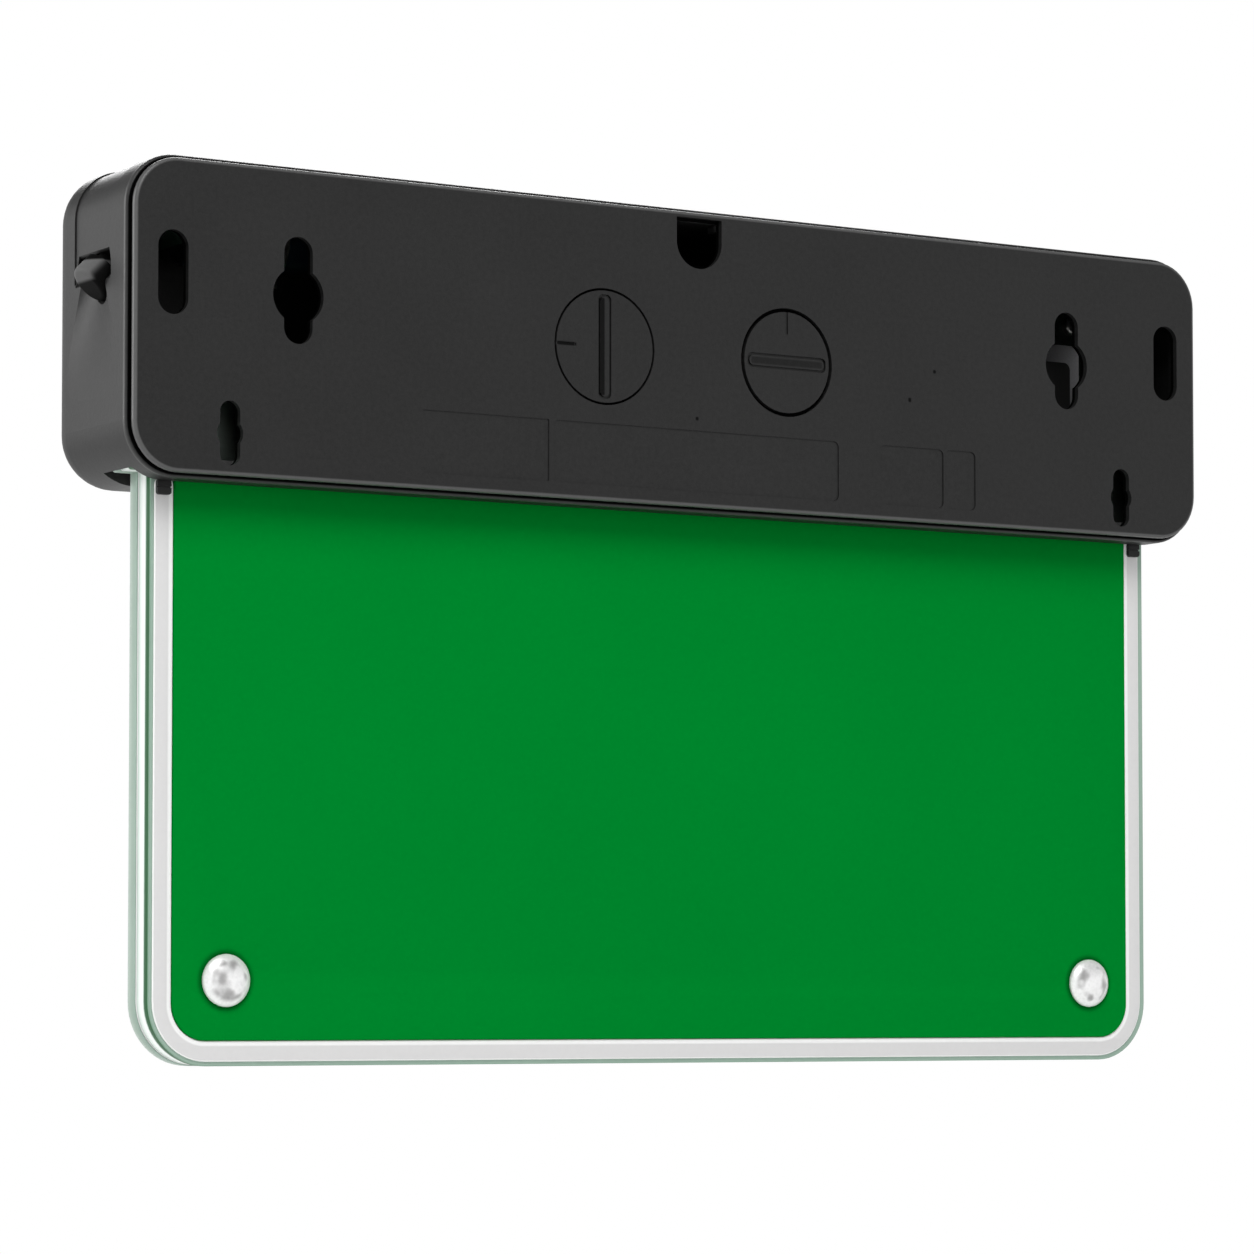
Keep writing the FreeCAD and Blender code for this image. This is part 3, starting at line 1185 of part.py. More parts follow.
def parts():
    """Every node of the light: name to shape."""
    nodes = {
        "back_plate": back_plate(),
        "front_shell": front_shell(),
        "light_guide": sheet(LIGHT_GUIDE_Y, LIGHT_GUIDE_THICKNESS),
        "front_face": sheet(FRONT_FACE_Y, FRONT_FACE_THICKNESS, INNER_SHEET_INSET),
        "reflector_sheet": sheet(REFLECTOR_Y, REFLECTOR_THICKNESS, INNER_SHEET_INSET),
        "rear_sheet": sheet(REAR_SHEET_Y, REAR_SHEET_THICKNESS),
        "white_border": white_border(),
        "green_panel": green_panel(),
        "panel_cap_nuts": Part.makeCompound([panel_cap_nut(side) for side in (-1, 1)]),
        "panel_screws": Part.makeCompound([panel_screw(side) for side in (-1, 1)]),
        "panel_top_screws": Part.makeCompound([panel_top_screw(side) for side in (-1, 1)]),
        "panel_channel": panel_channel(),
        "channel_screws": Part.makeCompound([channel_screw(x) for x in channel_screw_places()]),
        "led_board": led_board(),
        "leds": leds(),
        "test_button": test_button(),
        "switch_plunger": switch_plunger(),
        "push_switch": push_switch(),
        "switch_board": switch_board(),
        "switch_screws": Part.makeCompound([switch_screw(side) for side in (-1, 1)]),
        "driver_board": driver_board(),
        "board_screws": Part.makeCompound([board_screw(x, z) for x, z in driver_holes()]),
        "transformer_core": transformer_core(),
        "transformer_coil": transformer_coil(),
        "capacitors": Part.makeCompound([capacitor(index) for index in range(CAPACITOR_COUNT)]),
        "terminal_block": terminal_block(),
        "relay": relay(),
        "driver_chip": driver_chip(),
        "diodes": diodes(),
        "fuse": fuse(),
        "battery_socket": lead_socket(0),
        "led_socket": lead_socket(1),
        "battery_pack": battery_pack(),
        "battery_straps": Part.makeCompound([battery_strap(x) for x in saddle_places()]),
        "battery_leads": Part.makeCompound([battery_lead(side) for side in (-1, 1)]),
        "led_leads": Part.makeCompound([led_lead(side) for side in (-1, 1)]),
        "switch_leads": Part.makeCompound([switch_lead(side) for side in (-1, 1)]),
    }
    return nodes


def main():
    """Writes one STEP file for each node."""
    os.makedirs("parts", exist_ok=True)
    for name, shape in parts().items():
        if not shape.isValid():
            print("not valid:", name)
        print(f"{name}: {len(shape.Solids)} solid(s), {shape.Volume:.1f} mm3")
        shape.exportStep(os.path.join("parts", name + ".step"))


main()
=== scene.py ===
import logging
import math
from dataclasses import dataclass, field
from enum import Enum
from typing import Optional, Union

import bmesh
import bpy
from mathutils import Matrix, Vector


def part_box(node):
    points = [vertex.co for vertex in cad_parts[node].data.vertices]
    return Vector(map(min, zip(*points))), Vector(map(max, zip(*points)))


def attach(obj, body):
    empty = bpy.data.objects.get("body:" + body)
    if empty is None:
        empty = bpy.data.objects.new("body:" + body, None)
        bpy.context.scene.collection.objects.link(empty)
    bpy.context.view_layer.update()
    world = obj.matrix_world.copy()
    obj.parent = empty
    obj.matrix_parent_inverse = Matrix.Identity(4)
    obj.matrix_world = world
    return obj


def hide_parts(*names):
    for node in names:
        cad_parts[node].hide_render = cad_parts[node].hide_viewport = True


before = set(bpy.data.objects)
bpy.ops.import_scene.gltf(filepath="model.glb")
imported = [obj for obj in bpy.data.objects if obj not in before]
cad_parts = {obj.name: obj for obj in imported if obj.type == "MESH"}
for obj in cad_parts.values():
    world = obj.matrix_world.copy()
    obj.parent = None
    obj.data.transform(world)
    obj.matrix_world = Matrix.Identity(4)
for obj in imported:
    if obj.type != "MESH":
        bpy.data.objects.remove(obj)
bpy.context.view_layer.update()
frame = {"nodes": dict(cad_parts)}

MM = 0.001
LOG = logging.getLogger("exit_light")
Colour = tuple[float, float, float]
Point2 = tuple[float, float]
Scalar = Union["Shade", float]


class Side(Enum):
    """Ends of the light, as the sign of x."""

    NEAR = 1
    FAR = -1


class Skin(Enum):
    """Material index of a plate's broad faces and of its rim."""

    FACE = 0
    RIM = 1


# Node trees

class Shade:
    """A socket of a node tree, so that shader maths reads as Python."""

    def __init__(self, coat: "Coat", socket: bpy.types.NodeSocket) -> None:
        """Wraps an output socket.

        Args:
            coat: The node tree that it belongs to.
            socket: The output socket.
        """
        self.coat = coat
        self.socket = socket

    def maths(self, operation: str, *values: Scalar) -> "Shade":
        """Adds a Math node.

        Args:
            operation: The node's operation.
            *values: Its inputs, in order.

        Returns:
            The node's result.
        """
        return self.coat.node("ShaderNodeMath", {"operation": operation}, dict(enumerate(values)))

    def __add__(self, other: Scalar) -> "Shade":
        """Sum."""
        return self.maths("ADD", self, other)

    def __radd__(self, other: Scalar) -> "Shade":
        """Sum with a number first."""
        return self.maths("ADD", other, self)

    def __sub__(self, other: Scalar) -> "Shade":
        """Difference."""
        return self.maths("SUBTRACT", self, other)

    def __rsub__(self, other: Scalar) -> "Shade":
        """Difference with a number first."""
        return self.maths("SUBTRACT", other, self)

    def __mul__(self, other: Scalar) -> "Shade":
        """Product."""
        return self.maths("MULTIPLY", self, other)

    def __rmul__(self, other: Scalar) -> "Shade":
        """Product with a number first."""
        return self.maths("MULTIPLY", other, self)

    def __truediv__(self, other: Scalar) -> "Shade":
        """Quotient."""
        return self.maths("DIVIDE", self, other)

    def __pow__(self, other: Scalar) -> "Shade":
        """Power."""
        return self.maths("POWER", self, other)

    def __abs__(self) -> "Shade":
        """Size without its sign."""
        return self.maths("ABSOLUTE", self)

    def at_least(self, low: Scalar) -> "Shade":
        """The larger of two values."""
        return self.maths("MAXIMUM", self, low)

    def at_most(self, high: Scalar) -> "Shade":
        """The smaller of two values."""
        return self.maths("MINIMUM", self, high)

    def step(self, low: float, high: float) -> "Shade":
        """Smooth step from 0 at low to 1 at high."""
        return self.coat.node("ShaderNodeMapRange", {"interpolation_type": "SMOOTHSTEP"},
                              {"Value": self, "From Min": low, "From Max": high})

    def within(self, low: float, high: float, rise: float, fall: float) -> "Shade":
        """Window that is 1 between two values.

        Args:
            low: Where it starts to rise.
            high: Where it is back at 0.
            rise: Length of its rise.
            fall: Length of its fall.

        Returns:
            The share from 0 to 1.
        """
        return self.step(low, low + rise) * (1.0 - self.step(high - fall, high))


def beyond(across: Shade, upright: Shade, corner: float = 0.0) -> Shade:
    """Distance outside a rounded rectangle, in millimetres.

    Args:
        across: Distance past the centre of its corner along x.
        upright: The same along z.
        corner: Radius of the corner.

    Returns:
        The distance, below 0 inside it.
    """
    return (across.at_least(0.0) ** 2.0 + upright.at_least(0.0) ** 2.0) ** 0.5 - corner


class Coat:
    """Node tree of one material, world or floor."""

    def __init__(self, tree: bpy.types.NodeTree) -> None:
        """Empties the tree.

        Args:
            tree: The node tree to fill.
        """
        tree.nodes.clear()
        self.tree = tree

    def node(self, kind: str, settings: Optional[dict] = None, values: Optional[dict] = None,
             output: Union[int, str] = 0) -> Shade:
        """Adds a node: its settings first, then its sockets.

        Args:
            kind: The node's type.
            settings: Properties by name; stops is a list of (position, colour) for a ramp.
            values: Numbers, colours or shades by socket name or number.
            output: The socket that is wanted.

        Returns:
            That output.
        """
        made = self.tree.nodes.new(kind)
        for name, value in (settings or {}).items():
            if name == "stops":
                ramp = made.color_ramp
                while len(ramp.elements) < len(value):
                    ramp.elements.new(1.0)
                for element, (position, colour) in zip(ramp.elements, value):
                    element.position = position
                    element.color = (*colour, 1.0)
            else:
                setattr(made, name, value)
        for name, value in (values or {}).items():
            if isinstance(value, Shade):
                self.tree.links.new(value.socket, made.inputs[name])
            elif isinstance(value, tuple) and made.inputs[name].type == "RGBA":
                made.inputs[name].default_value = (*value, 1.0)
            else:
                made.inputs[name].default_value = value
        return Shade(self, made.outputs[output])

    def place(self) -> Shade:
        """Object coordinates, in metres."""
        return self.node("ShaderNodeTexCoord", output="Object")

    def axes(self) -> tuple[Shade, Shade, Shade]:
        """Object coordinates in millimetres, one by one."""
        place = self.node("ShaderNodeVectorMath", {"operation": "SCALE"}, {0: self.place(), "Scale": 1 / MM})
        parts = [self.node("ShaderNodeSeparateXYZ", values={0: place}, output=k) for k in range(3)]
        return parts[0], parts[1], parts[2]

    def noise(self, size: float, detail: float = 2.0, stretch: Colour = (1.0, 1.0, 1.0)) -> Shade:
        """Noise with blobs of about the given size.

        Args:
            size: Size of a blob in millimetres.
            detail: Octaves of finer noise.
            stretch: How much finer it is along each axis.

        Returns:
            A value round 0.5.
        """
        place = self.node("ShaderNodeMapping", {"vector_type": "POINT"}, {0: self.place(), "Scale": stretch})
        return self.node("ShaderNodeTexNoise", {"noise_dimensions": "3D"},
                         {"Vector": place, "Scale": 1 / (size * MM), "Detail": detail, "Roughness": 0.55})

    def mix(self, share: Scalar, first: Union[Shade, Colour], second: Union[Shade, Colour]) -> Shade:
        """Blends two colours.

        Args:
            share: Share of the second colour.
            first: First colour.
            second: Second colour.

        Returns:
            The blend.
        """
        return self.node("ShaderNodeMix", {"data_type": "RGBA"}, {0: share, 6: first, 7: second}, 2)

    def tinted(self, colour: Union[Shade, Colour], level: Scalar) -> Shade:
        """A colour made lighter or darker by a level round 1."""
        return self.node("ShaderNodeVectorMath", {"operation": "SCALE"}, {0: colour, "Scale": level})

    def bump(self, height: Shade, depth: float, strength: float = 1.0) -> Shade:
        """Normal of a surface with a relief.

        Args:
            height: Relief from 0 to 1.
            depth: Its depth in millimetres.
            strength: How much of it shows.

        Returns:
            The normal.
        """
        return self.node("ShaderNodeBump", values={"Height": height, "Distance": depth * MM,
                                                   "Strength": strength})

    def surface(self, values: dict) -> None:
        """Ends the tree in one shader.

        Args:
            values: The shader's sockets.
        """
        self.end(self.node("ShaderNodeBsdfPrincipled", values=values))

    def end(self, shader: Shade, kind: str = "ShaderNodeOutputMaterial") -> None:
        """Links a shader to the tree's output node."""
        self.tree.links.new(shader.socket, self.tree.nodes.new(kind).inputs["Surface"])


# Finishes

@dataclass(frozen=True)
class Finish:
    """A finish, and the material that it makes once."""

    name: str

    def paint(self, coat: Coat) -> None:
        """Fills the material's node tree."""
        raise NotImplementedError

    def material(self) -> bpy.types.Material:
        """Returns the material, made at the first call."""
        made = bpy.data.materials.get(self.name)
        if made is None:
            made = bpy.data.materials.new(self.name)
            made.use_nodes = True
            self.paint(Coat(made.node_tree))
        return made


@dataclass(frozen=True)
class Moulded(Finish):
    """Moulded plastic with a spark-eroded grain."""

    colour: Colour
    roughness: float = 0.5
    grain: float = 0.4
    depth: float = 0.02
    speckle: float = 0.3
    clouding: float = 0.12
    specular: float = 0.5

    def paint(self, coat: Coat) -> None:
        """Grain in the relief and in the tone, with slow drifts of tone and gloss."""
        grain = coat.noise(self.grain, 2.0)
        drift = coat.noise(38.0, 3.0)
        tone = 1.0 + (grain - 0.5) * self.speckle + (drift - 0.5) * self.clouding
        coat.surface({
            "Base Color": coat.tinted(self.colour, tone),
            "Roughness": self.roughness + (drift - 0.5) * 0.14 + (grain - 0.5) * 0.1,
            "Specular IOR Level": self.specular,
            "Normal": coat.bump(grain, self.depth),
        })


@dataclass(frozen=True)
class Film(Finish):
    """Printed or dyed sheet with a calm surface."""

    colour: Colour
    roughness: float = 0.45
    specular: float = 0.3
    mottle: float = 0.05
    drift: float = 0.06
    peel: float = 0.5

    def hue(self, coat: Coat) -> Union[Shade, Colour]:
        """Colour of the sheet before its mottle."""
        return self.colour

    def paint(self, coat: Coat) -> None:
        """A faint mottle in the ink and a faint orange peel."""
        mottle = coat.noise(1.2, 3.0)
        drift = coat.noise(60.0, 2.0)
        tone = 1.0 + (mottle - 0.5) * self.mottle + (drift - 0.5) * self.drift
        coat.surface({
            "Base Color": coat.tinted(self.hue(coat), tone),
            "Roughness": self.roughness + (mottle - 0.5) * 0.08,
            "Specular IOR Level": self.specular,
            "Normal": coat.bump(coat.noise(2.5, 1.0), 0.01, self.peel),
        })


@dataclass(frozen=True, kw_only=True)
class FrontFilm(Film):
    """Front field of the sign: plain green inside a white frame."""

    frame: Colour
    half_width: float
    low: float
    high: float
    corner: float

    def hue(self, coat: Coat) -> Shade:
        """White outside a rounded rectangle and green inside it."""
        x, _, z = coat.axes()
        middle, half = (self.low + self.high) / 2, (self.high - self.low) / 2
        across = abs(x) - (self.half_width - self.corner)
        upright = abs(z - middle) - (half - self.corner)
        outside = beyond(across, upright, self.corner)
        return coat.mix(outside.step(-0.1, 0.1), self.colour, self.frame)


@dataclass(frozen=True, kw_only=True)
class SignFilm(Film):
    """Green field with the soft shade that the caps throw on it."""

    cap_x: float
    cap_z: float
    cap_radius: float
    shade: float = 0.55
    fade: float = 1.8

    def hue(self, coat: Coat) -> Shade:
        """Darker in a ring round each cap."""
        x, _, z = coat.axes()
        reach = ((abs(x) - self.cap_x) ** 2.0 + (z - self.cap_z) ** 2.0) ** 0.5
        ring = 1.0 - reach.step(self.cap_radius, self.cap_radius + self.fade)
        return coat.tinted(self.colour, 1.0 - ring * self.shade)


@dataclass(frozen=True, kw_only=True)
class BorderFilm(Film):
    """White border with a painted highlight: a brighter line along its inner edge."""

    # Colour of the painted highlight line.
    line: Colour
    middle_x: float
    half_width: float
    low: float
    corner: float
    line_start: float = 0.9
    line_end: float = 1.5

    def hue(self, coat: Coat) -> Shade:
        """Painted highlight: brighter next to the green field."""
        x, _, z = coat.axes()
        across = abs(x - self.middle_x) - (self.half_width - self.corner)
        outside = beyond(across, self.low + self.corner - z, self.corner)
        # Painted highlight: a brighter line next to the green field.
        bright = 1.0 - outside.step(self.line_start, self.line_end)
        return coat.mix(bright, self.colour, self.line)


@dataclass(frozen=True)
class PackEdge(Finish):
    """Polished edges of the stacked sheets, whose tone changes from the front sheet to the rear one."""

    front: float
    back: float
    bands: tuple[tuple[float, Colour], ...]

    def paint(self, coat: Coat) -> None:
        """Bands by depth, with fine saw marks."""
        _, y, _ = coat.axes()
        depth = (y - self.front) / (self.back - self.front)
        stops = [((place - self.front) / (self.back - self.front), colour) for place, colour in self.bands]
        band = coat.node("ShaderNodeValToRGB", {"stops": stops}, {0: depth})
        marks = coat.noise(0.35, 2.0, (1.0, 6.0, 0.4))
        glow = coat.noise(22.0, 2.0)
        coat.surface({
            "Base Color": coat.tinted(band, 1.0 + (marks - 0.5) * 0.06 + (glow - 0.5) * 0.16),
            "Roughness": 0.3 + marks * 0.1,
            "Specular IOR Level": 0.12,
            "Normal": coat.bump(marks, 0.01, 0.5),
        })


@dataclass(frozen=True)
class DarkPatch:
    """Dark patch on the plate: a rounded bar, in millimetres, and how dark it is; the bars are painted shade
    in the plate's grooves and the dots are pin marks.
    """

    x: float
    z: float
    half_x: float
    half_z: float
    share: float


@dataclass(frozen=True, kw_only=True)
class HousingSkin(Finish):
    """Black moulding with a spark-eroded grain, painted shade in the seam, the button's well and the plate's
    grooves, pin marks, and painted highlights along the plate's rim and the shell's lip.
    """

    colour: Colour
    # Dark patches: painted shade in the plate's grooves, and pin marks.
    marks: tuple[DarkPatch, ...]
    specular: float = 0.32
    seam_back: float = -1.5
    seam_front: float = -2.6
    plate_half_width: float = 160.0
    plate_half_height: float = 37.75
    plate_corner: float = 12.0
    recess_floor: float = -2.0
    well_mouth: float = 160.6
    well_low: float = 8.6
    well_high: float = 20.2
    well_front: float = -34.0
    well_back: float = -9.0
    well_reach: float = 20.0
    # How far the painted shade in the well and in the seam goes to black.
    well_shade: float = 0.93
    seam_shade: float = 0.95
    # Band of the painted highlight along the plate's rim, and width of the painted highlight on the shell's
    # lip.
    highlight_start: float = -1.1
    highlight_end: float = -0.55
    lip_width: float = 1.5

    def painted_rim_highlights(self, coat: Coat) -> tuple[Shade, Shade]:
        """Painted highlights: a paler band along the plate's rim, and one along the lip of the shell beside
        it.
        """
        x, y, z = coat.axes()
        corner = self.plate_corner
        across = abs(x) - (self.plate_half_width - corner)
        upright = abs(z) - (self.plate_half_height - corner)
        outside = beyond(across, upright, corner)
        # Painted highlight: a paler band along the plate's rim; the second value is a paler band on the
        # shell's lip.
        rim = outside.step(self.highlight_start, self.highlight_end) * y.step(self.seam_back, self.seam_back + 0.5)
        return rim, y.within(self.seam_front - self.lip_width, self.seam_front, 0.6, 0.5)

    def painted_shade(self, coat: Coat) -> Shade:
        """Painted shade where the moulding is mixed to black: in the seam, in the button's well and in the
        dark patches.
        """
        x, y, z = coat.axes()
        # Painted shade: the seam between shell and plate, and the button's well, go to black.
        seam = y.within(self.seam_front - 0.1, self.seam_back + 0.1, 0.1, 0.1) * self.seam_shade
        well = x.within(self.well_mouth - self.well_reach, self.well_mouth, 5.0, 0.6)
        well = well * z.within(self.well_low, self.well_high, 1.0, 0.8)
        well = well * y.within(self.well_front, self.well_back, 1.0, 1.0) * self.well_shade
        dark = seam.at_least(well)
        on_plate = y.step(self.recess_floor - 0.3, self.recess_floor)
        # Dark patches: painted shade in the plate's grooves, and dark pin marks.
        for patch in self.marks:
            outside = beyond(abs(x - patch.x) - patch.half_x, abs(z - patch.z) - patch.half_z)
            dark = dark.at_least((1.0 - outside.step(0.1, 0.6)) * patch.share * on_plate)
        return dark

    def paint(self, coat: Coat) -> None:
        """Grain and drifts of tone, painted shade mixed in as black, and painted highlights along the plate's
        rim and the shell's lip.
        """
        rim, lip = self.painted_rim_highlights(coat)
        grain = coat.noise(0.42, 2.0)
        speckle = coat.noise(1.3, 2.0)
        drift = coat.noise(38.0, 3.0)
        # The rim and lip bands lighten the tone here as painted highlights.
        tone = 1.0 + (grain - 0.5) * 1.1 + (speckle - 0.5) * 0.9 + (drift - 0.5) * 0.8 + rim * 7.0 + lip * 3.0
        skin = coat.node("ShaderNodeBsdfPrincipled", values={
            "Base Color": coat.tinted(self.colour, tone),
            "Roughness": 0.46 + (drift - 0.5) * 0.2 + (grain - 0.5) * 0.16 - rim * 0.12 - lip * 0.08,
            "Specular IOR Level": self.specular,
            "Normal": coat.bump(grain * 0.5 + speckle * 0.5, 0.05),
        })
        # The painted shade is a near-black diffuse mixed over the skin.
        shadow = coat.node("ShaderNodeBsdfDiffuse", values={"Color": SHADOW})
        coat.end(coat.node("ShaderNodeMixShader", values={0: self.painted_shade(coat), 1: skin, 2: shadow}))


@dataclass(frozen=True, kw_only=True)
class ButtonSkin(Finish):
    """Glossy black button with a painted highlight: a paler band across its upper side, in millimetres."""

    colour: Colour
    painted_highlight: float
    low: float
    high: float
    edge: float

    def paint(self, coat: Coat) -> None:
        """Painted highlight between two heights; black below them and inside the well."""
        _, y, z = coat.axes()
        # Painted highlight: a pale band across the button, cut off where it goes into the well, which stays
        # black.
        band = z.within(self.low - 0.5, self.high + 0.3, 0.9, 0.6)
        band = band * (1.0 - y.step(self.edge - 0.8, self.edge + 0.4))
        fine = coat.noise(0.8, 2.0)
        tone = 1.0 + band * self.painted_highlight + (fine - 0.5) * (band * 4.0 + 0.2)
        coat.surface({
            "Base Color": coat.tinted(self.colour, tone),
            "Roughness": 0.5 - band * 0.15 + (fine - 0.5) * 0.1,
            "Specular IOR Level": 0.02,
            "Normal": coat.bump(fine, 0.004),
        })


@dataclass(frozen=True)
class Metal(Finish):
    """Bare or plated metal."""

    colour: Colour
    roughness: float = 0.2
    mottle: float = 0.1
    size: float = 1.5
    depth: float = 0.01
    stretch: Colour = (1.0, 1.0, 1.0)

    def paint(self, coat: Coat) -> None:
        """Mottled tone and gloss, with a fine relief."""
        spots = coat.noise(self.size, 4.0, self.stretch)
        fine = coat.noise(self.size / 6, 2.0, self.stretch)
        roughness = self.roughness + (spots - 0.5) * self.mottle * 2 + (fine - 0.5) * 0.1
        coat.surface({
            "Base Color": coat.tinted(self.colour, 1.0 + (spots - 0.5) * self.mottle * 4),
            "Metallic": 1.0,
            "Roughness": roughness.at_least(0.04),
            "Normal": coat.bump(spots * 0.6 + fine * 0.4, self.depth),
        })


@dataclass(frozen=True, kw_only=True)
class CapMetal(Finish):
    """Polished cap, mottled grey on its crown, with a painted reflection: a bright ring along its rim and
    bright spots.
    """

    crown: Colour
    # Colour of the painted reflection on the rim and of the bright spots.
    rim: Colour
    cap_x: float
    cap_z: float
    highlight_start: float = 4.2
    highlight_end: float = 5.6

    def paint(self, coat: Coat) -> None:
        """Painted reflection in rings round the cap's centre, with bright spots."""
        x, _, z = coat.axes()
        reach = ((abs(x) - self.cap_x) ** 2.0 + (z - self.cap_z) ** 2.0) ** 0.5
        spots, fine = coat.noise(4.4, 1.0), coat.noise(0.8, 2.0)
        # Painted reflection: a bright ring along the rim and bright spots on the crown.
        painted_highlight = (reach.step(self.highlight_start, self.highlight_end) + spots.step(0.42, 0.64)).at_most(1.0)
        coat.surface({
            "Base Color": coat.tinted(coat.mix(painted_highlight, self.crown, self.rim), 1.0 + (fine - 0.5) * 0.3),
            "Metallic": 0.35,
            "Roughness": 0.3 + fine * 0.12,
            "Normal": coat.bump(spots, 0.08),
        })


@dataclass(frozen=True)
class Board(Finish):
    """Circuit board under solder mask."""

    colour: Colour
    track: Colour

    def paint(self, coat: Coat) -> None:
        """Tracks show faintly through the mask, with the weave under it."""
        x, _, z = coat.axes()
        blocks = coat.node("ShaderNodeTexVoronoi", {"feature": "F1", "distance": "CHEBYCHEV"},
                           {"Vector": coat.place(), "Scale": 140.0})
        tracks = (blocks * 3.0 + x * 0.01 + z * 0.01).maths("FRACT", blocks * 3.0).step(0.42, 0.5)
        weave = coat.noise(0.5, 2.0)
        mask = coat.mix(tracks * 0.6, self.colour, self.track)
        coat.surface({
            "Base Color": coat.tinted(mask, 1.0 + (weave - 0.5) * 0.12),
            "Roughness": 0.32 + weave * 0.1,
            "Normal": coat.bump(tracks, 0.03, 0.6),
        })


# Colours are linear. The panel makes the finishes of its own print, border and caps.
BLACK = (0.0115, 0.0115, 0.0115)
SHADOW = (0.001, 0.001, 0.001)
GREEN = (0.0, 0.238, 0.026)
WHITE = (0.74, 0.735, 0.735)
# White of the painted highlights on the border and the cap rims.
HIGHLIGHT_WHITE = (0.97, 0.97, 0.97)
LIGHT = (1.0, 1.0, 1.0)
# Dark patches on the plate: the three bars are painted shade in its grooves, the three dots are pin marks.
GROOVE_SHADE_AND_PIN_MARKS = (DarkPatch(29.9, 1.2, 0.3, 12.0, 0.75), DarkPatch(-25.9, 1.2, 10.6, 0.5, 0.4), DarkPatch(40.5, 1.2, 2.2, 0.1, 0.75),
         DarkPatch(1.6, -15.2, 0.1, 0.1, 0.8), DarkPatch(-64.7, -5.8, 0.1, 0.2, 0.8), DarkPatch(-72.7, 2.2, 0.1, 0.1, 0.8))
FINISHES: dict[str, Finish] = {
    "housing_black": HousingSkin(name="moulded_housing", colour=BLACK, marks=GROOVE_SHADE_AND_PIN_MARKS),
    "button_black": ButtonSkin(name="glossy_button", colour=(0.004, 0.004, 0.004), painted_highlight=28.0, low=9.2,
                               high=14.2, edge=-14.6),
    "clear_acrylic": Film("rear_sheet_face", (0.34, 0.47, 0.39), 0.2, 0.2),
    "reflector_white": Film("reflector_sheet_white", (0.86, 0.87, 0.86)),
    "black_screw": Metal("blackened_screw", (0.03, 0.03, 0.03), 0.4, 0.1),
    # Drawn aluminium, its grey tinted green as a painted glint where it shows at the notch.
    "channel_aluminium": Metal("drawn_channel", (0.3, 0.36, 0.32), 0.35, 0.06, 1.0, 0.01, (0.05, 1.0, 1.0)),
    "zinc_steel": Metal("zinc_plate", (0.62, 0.62, 0.6), 0.32, 0.1, 1.2),
    "white_board": Board("led_strip_board", (0.78, 0.78, 0.76), (0.86, 0.86, 0.84)),
    "led_lens": Moulded("led_lens_yellow", (0.85, 0.68, 0.12), 0.25, 0.3, 0.004, 0.1),
    # The parts inside the housing are seen only through the keyholes; the driver board mask, coil tape,
    # capacitor sleeves, terminal block, relay case and socket are darker than their own colours, as painted
    # shade inside the housing.
    "board_mask": Board("driver_board_mask", (0.004, 0.012, 0.007), (0.01, 0.026, 0.016)),
    "core_steel": Metal("laminated_core", (0.34, 0.34, 0.35), 0.45, 0.12, 0.5, 0.03, (1.0, 12.0, 1.0)),
    "coil_tape": Moulded("coil_tape_shaded", (0.012, 0.012, 0.012), 0.45, 1.0, 0.02, 0.1),
    "capacitor_sleeve": Moulded("capacitor_sleeve_shaded", (0.006, 0.008, 0.014), 0.35, 0.8, 0.006, 0.1),
    "terminal_plastic": Moulded("terminal_shaded_green", (0.008, 0.02, 0.012), 0.45, 0.5, 0.01, 0.1),
    "relay_case": Moulded("relay_case_shaded", (0.01, 0.01, 0.012), 0.4, 0.6, 0.01, 0.1),
    "package_black": Moulded("chip_package", (0.02, 0.02, 0.02), 0.55, 0.3, 0.01, 0.2),
    "fuse_glass": Moulded("fuse_body", (0.55, 0.58, 0.56), 0.12, 0.9, 0.004, 0.1),
    "socket_white": Moulded("socket_nylon", (0.3, 0.29, 0.26), 0.45, 0.5, 0.01, 0.1),
    "battery_sleeve": Moulded("battery_wrap", (0.008, 0.014, 0.026), 0.35, 1.2, 0.01, 0.1),
    "switch_case": Moulded("switch_body", (0.03, 0.03, 0.03), 0.4, 0.5, 0.01, 0.2),
    "plunger_plastic": Moulded("plunger_tip", (0.012, 0.012, 0.012), 0.35, 0.5, 0.01, 0.1),
    "lead_insulation": Moulded("lead_skin", (0.01, 0.01, 0.01), 0.42, 0.6, 0.006, 0.1),
}


# Shapes

@dataclass
class Corner:
    """Corner of a flat outline, in millimetres, with its rounding."""

    x: float
    z: float
    radius: float = 0.0


def rounded(corners: list[Corner], steps: int = 10) -> list[Point2]:
    """Turns corners into the points of an outline.

    Args:
        corners: The corners in order.
        steps: Number of parts of each arc.

    Returns:
        The points, in millimetres.
    """
    points: list[Point2] = []
    for index, corner in enumerate(corners):
        here = Vector((corner.x, corner.z))
        if corner.radius <= 0:
            points.append((here.x, here.y))
            continue
        before, after = corners[index - 1], corners[(index + 1) % len(corners)]
        back = (Vector((before.x, before.z)) - here).normalized()
        on = (Vector((after.x, after.z)) - here).normalized()
        half = back.angle(on) / 2
        centre = here + (back + on).normalized() * corner.radius / math.sin(half)
        start = here + back * corner.radius / math.tan(half) - centre
        turn = (math.pi - 2 * half) * (1 if on.x * back.y > on.y * back.x else -1)
        for step in range(steps + 1):
            angle = math.atan2(start.y, start.x) + turn * step / steps
            points.append((centre.x + corner.radius * math.cos(angle),
                           centre.y + corner.radius * math.sin(angle)))
    return points


def circle(x: float, z: float, radius: float, steps: int = 32) -> list[Point2]:
    """Points of a round hole, in millimetres."""
    return [(x + radius * math.cos(math.tau * k / steps), z + radius * math.sin(math.tau * k / steps))
            for k in range(steps)]


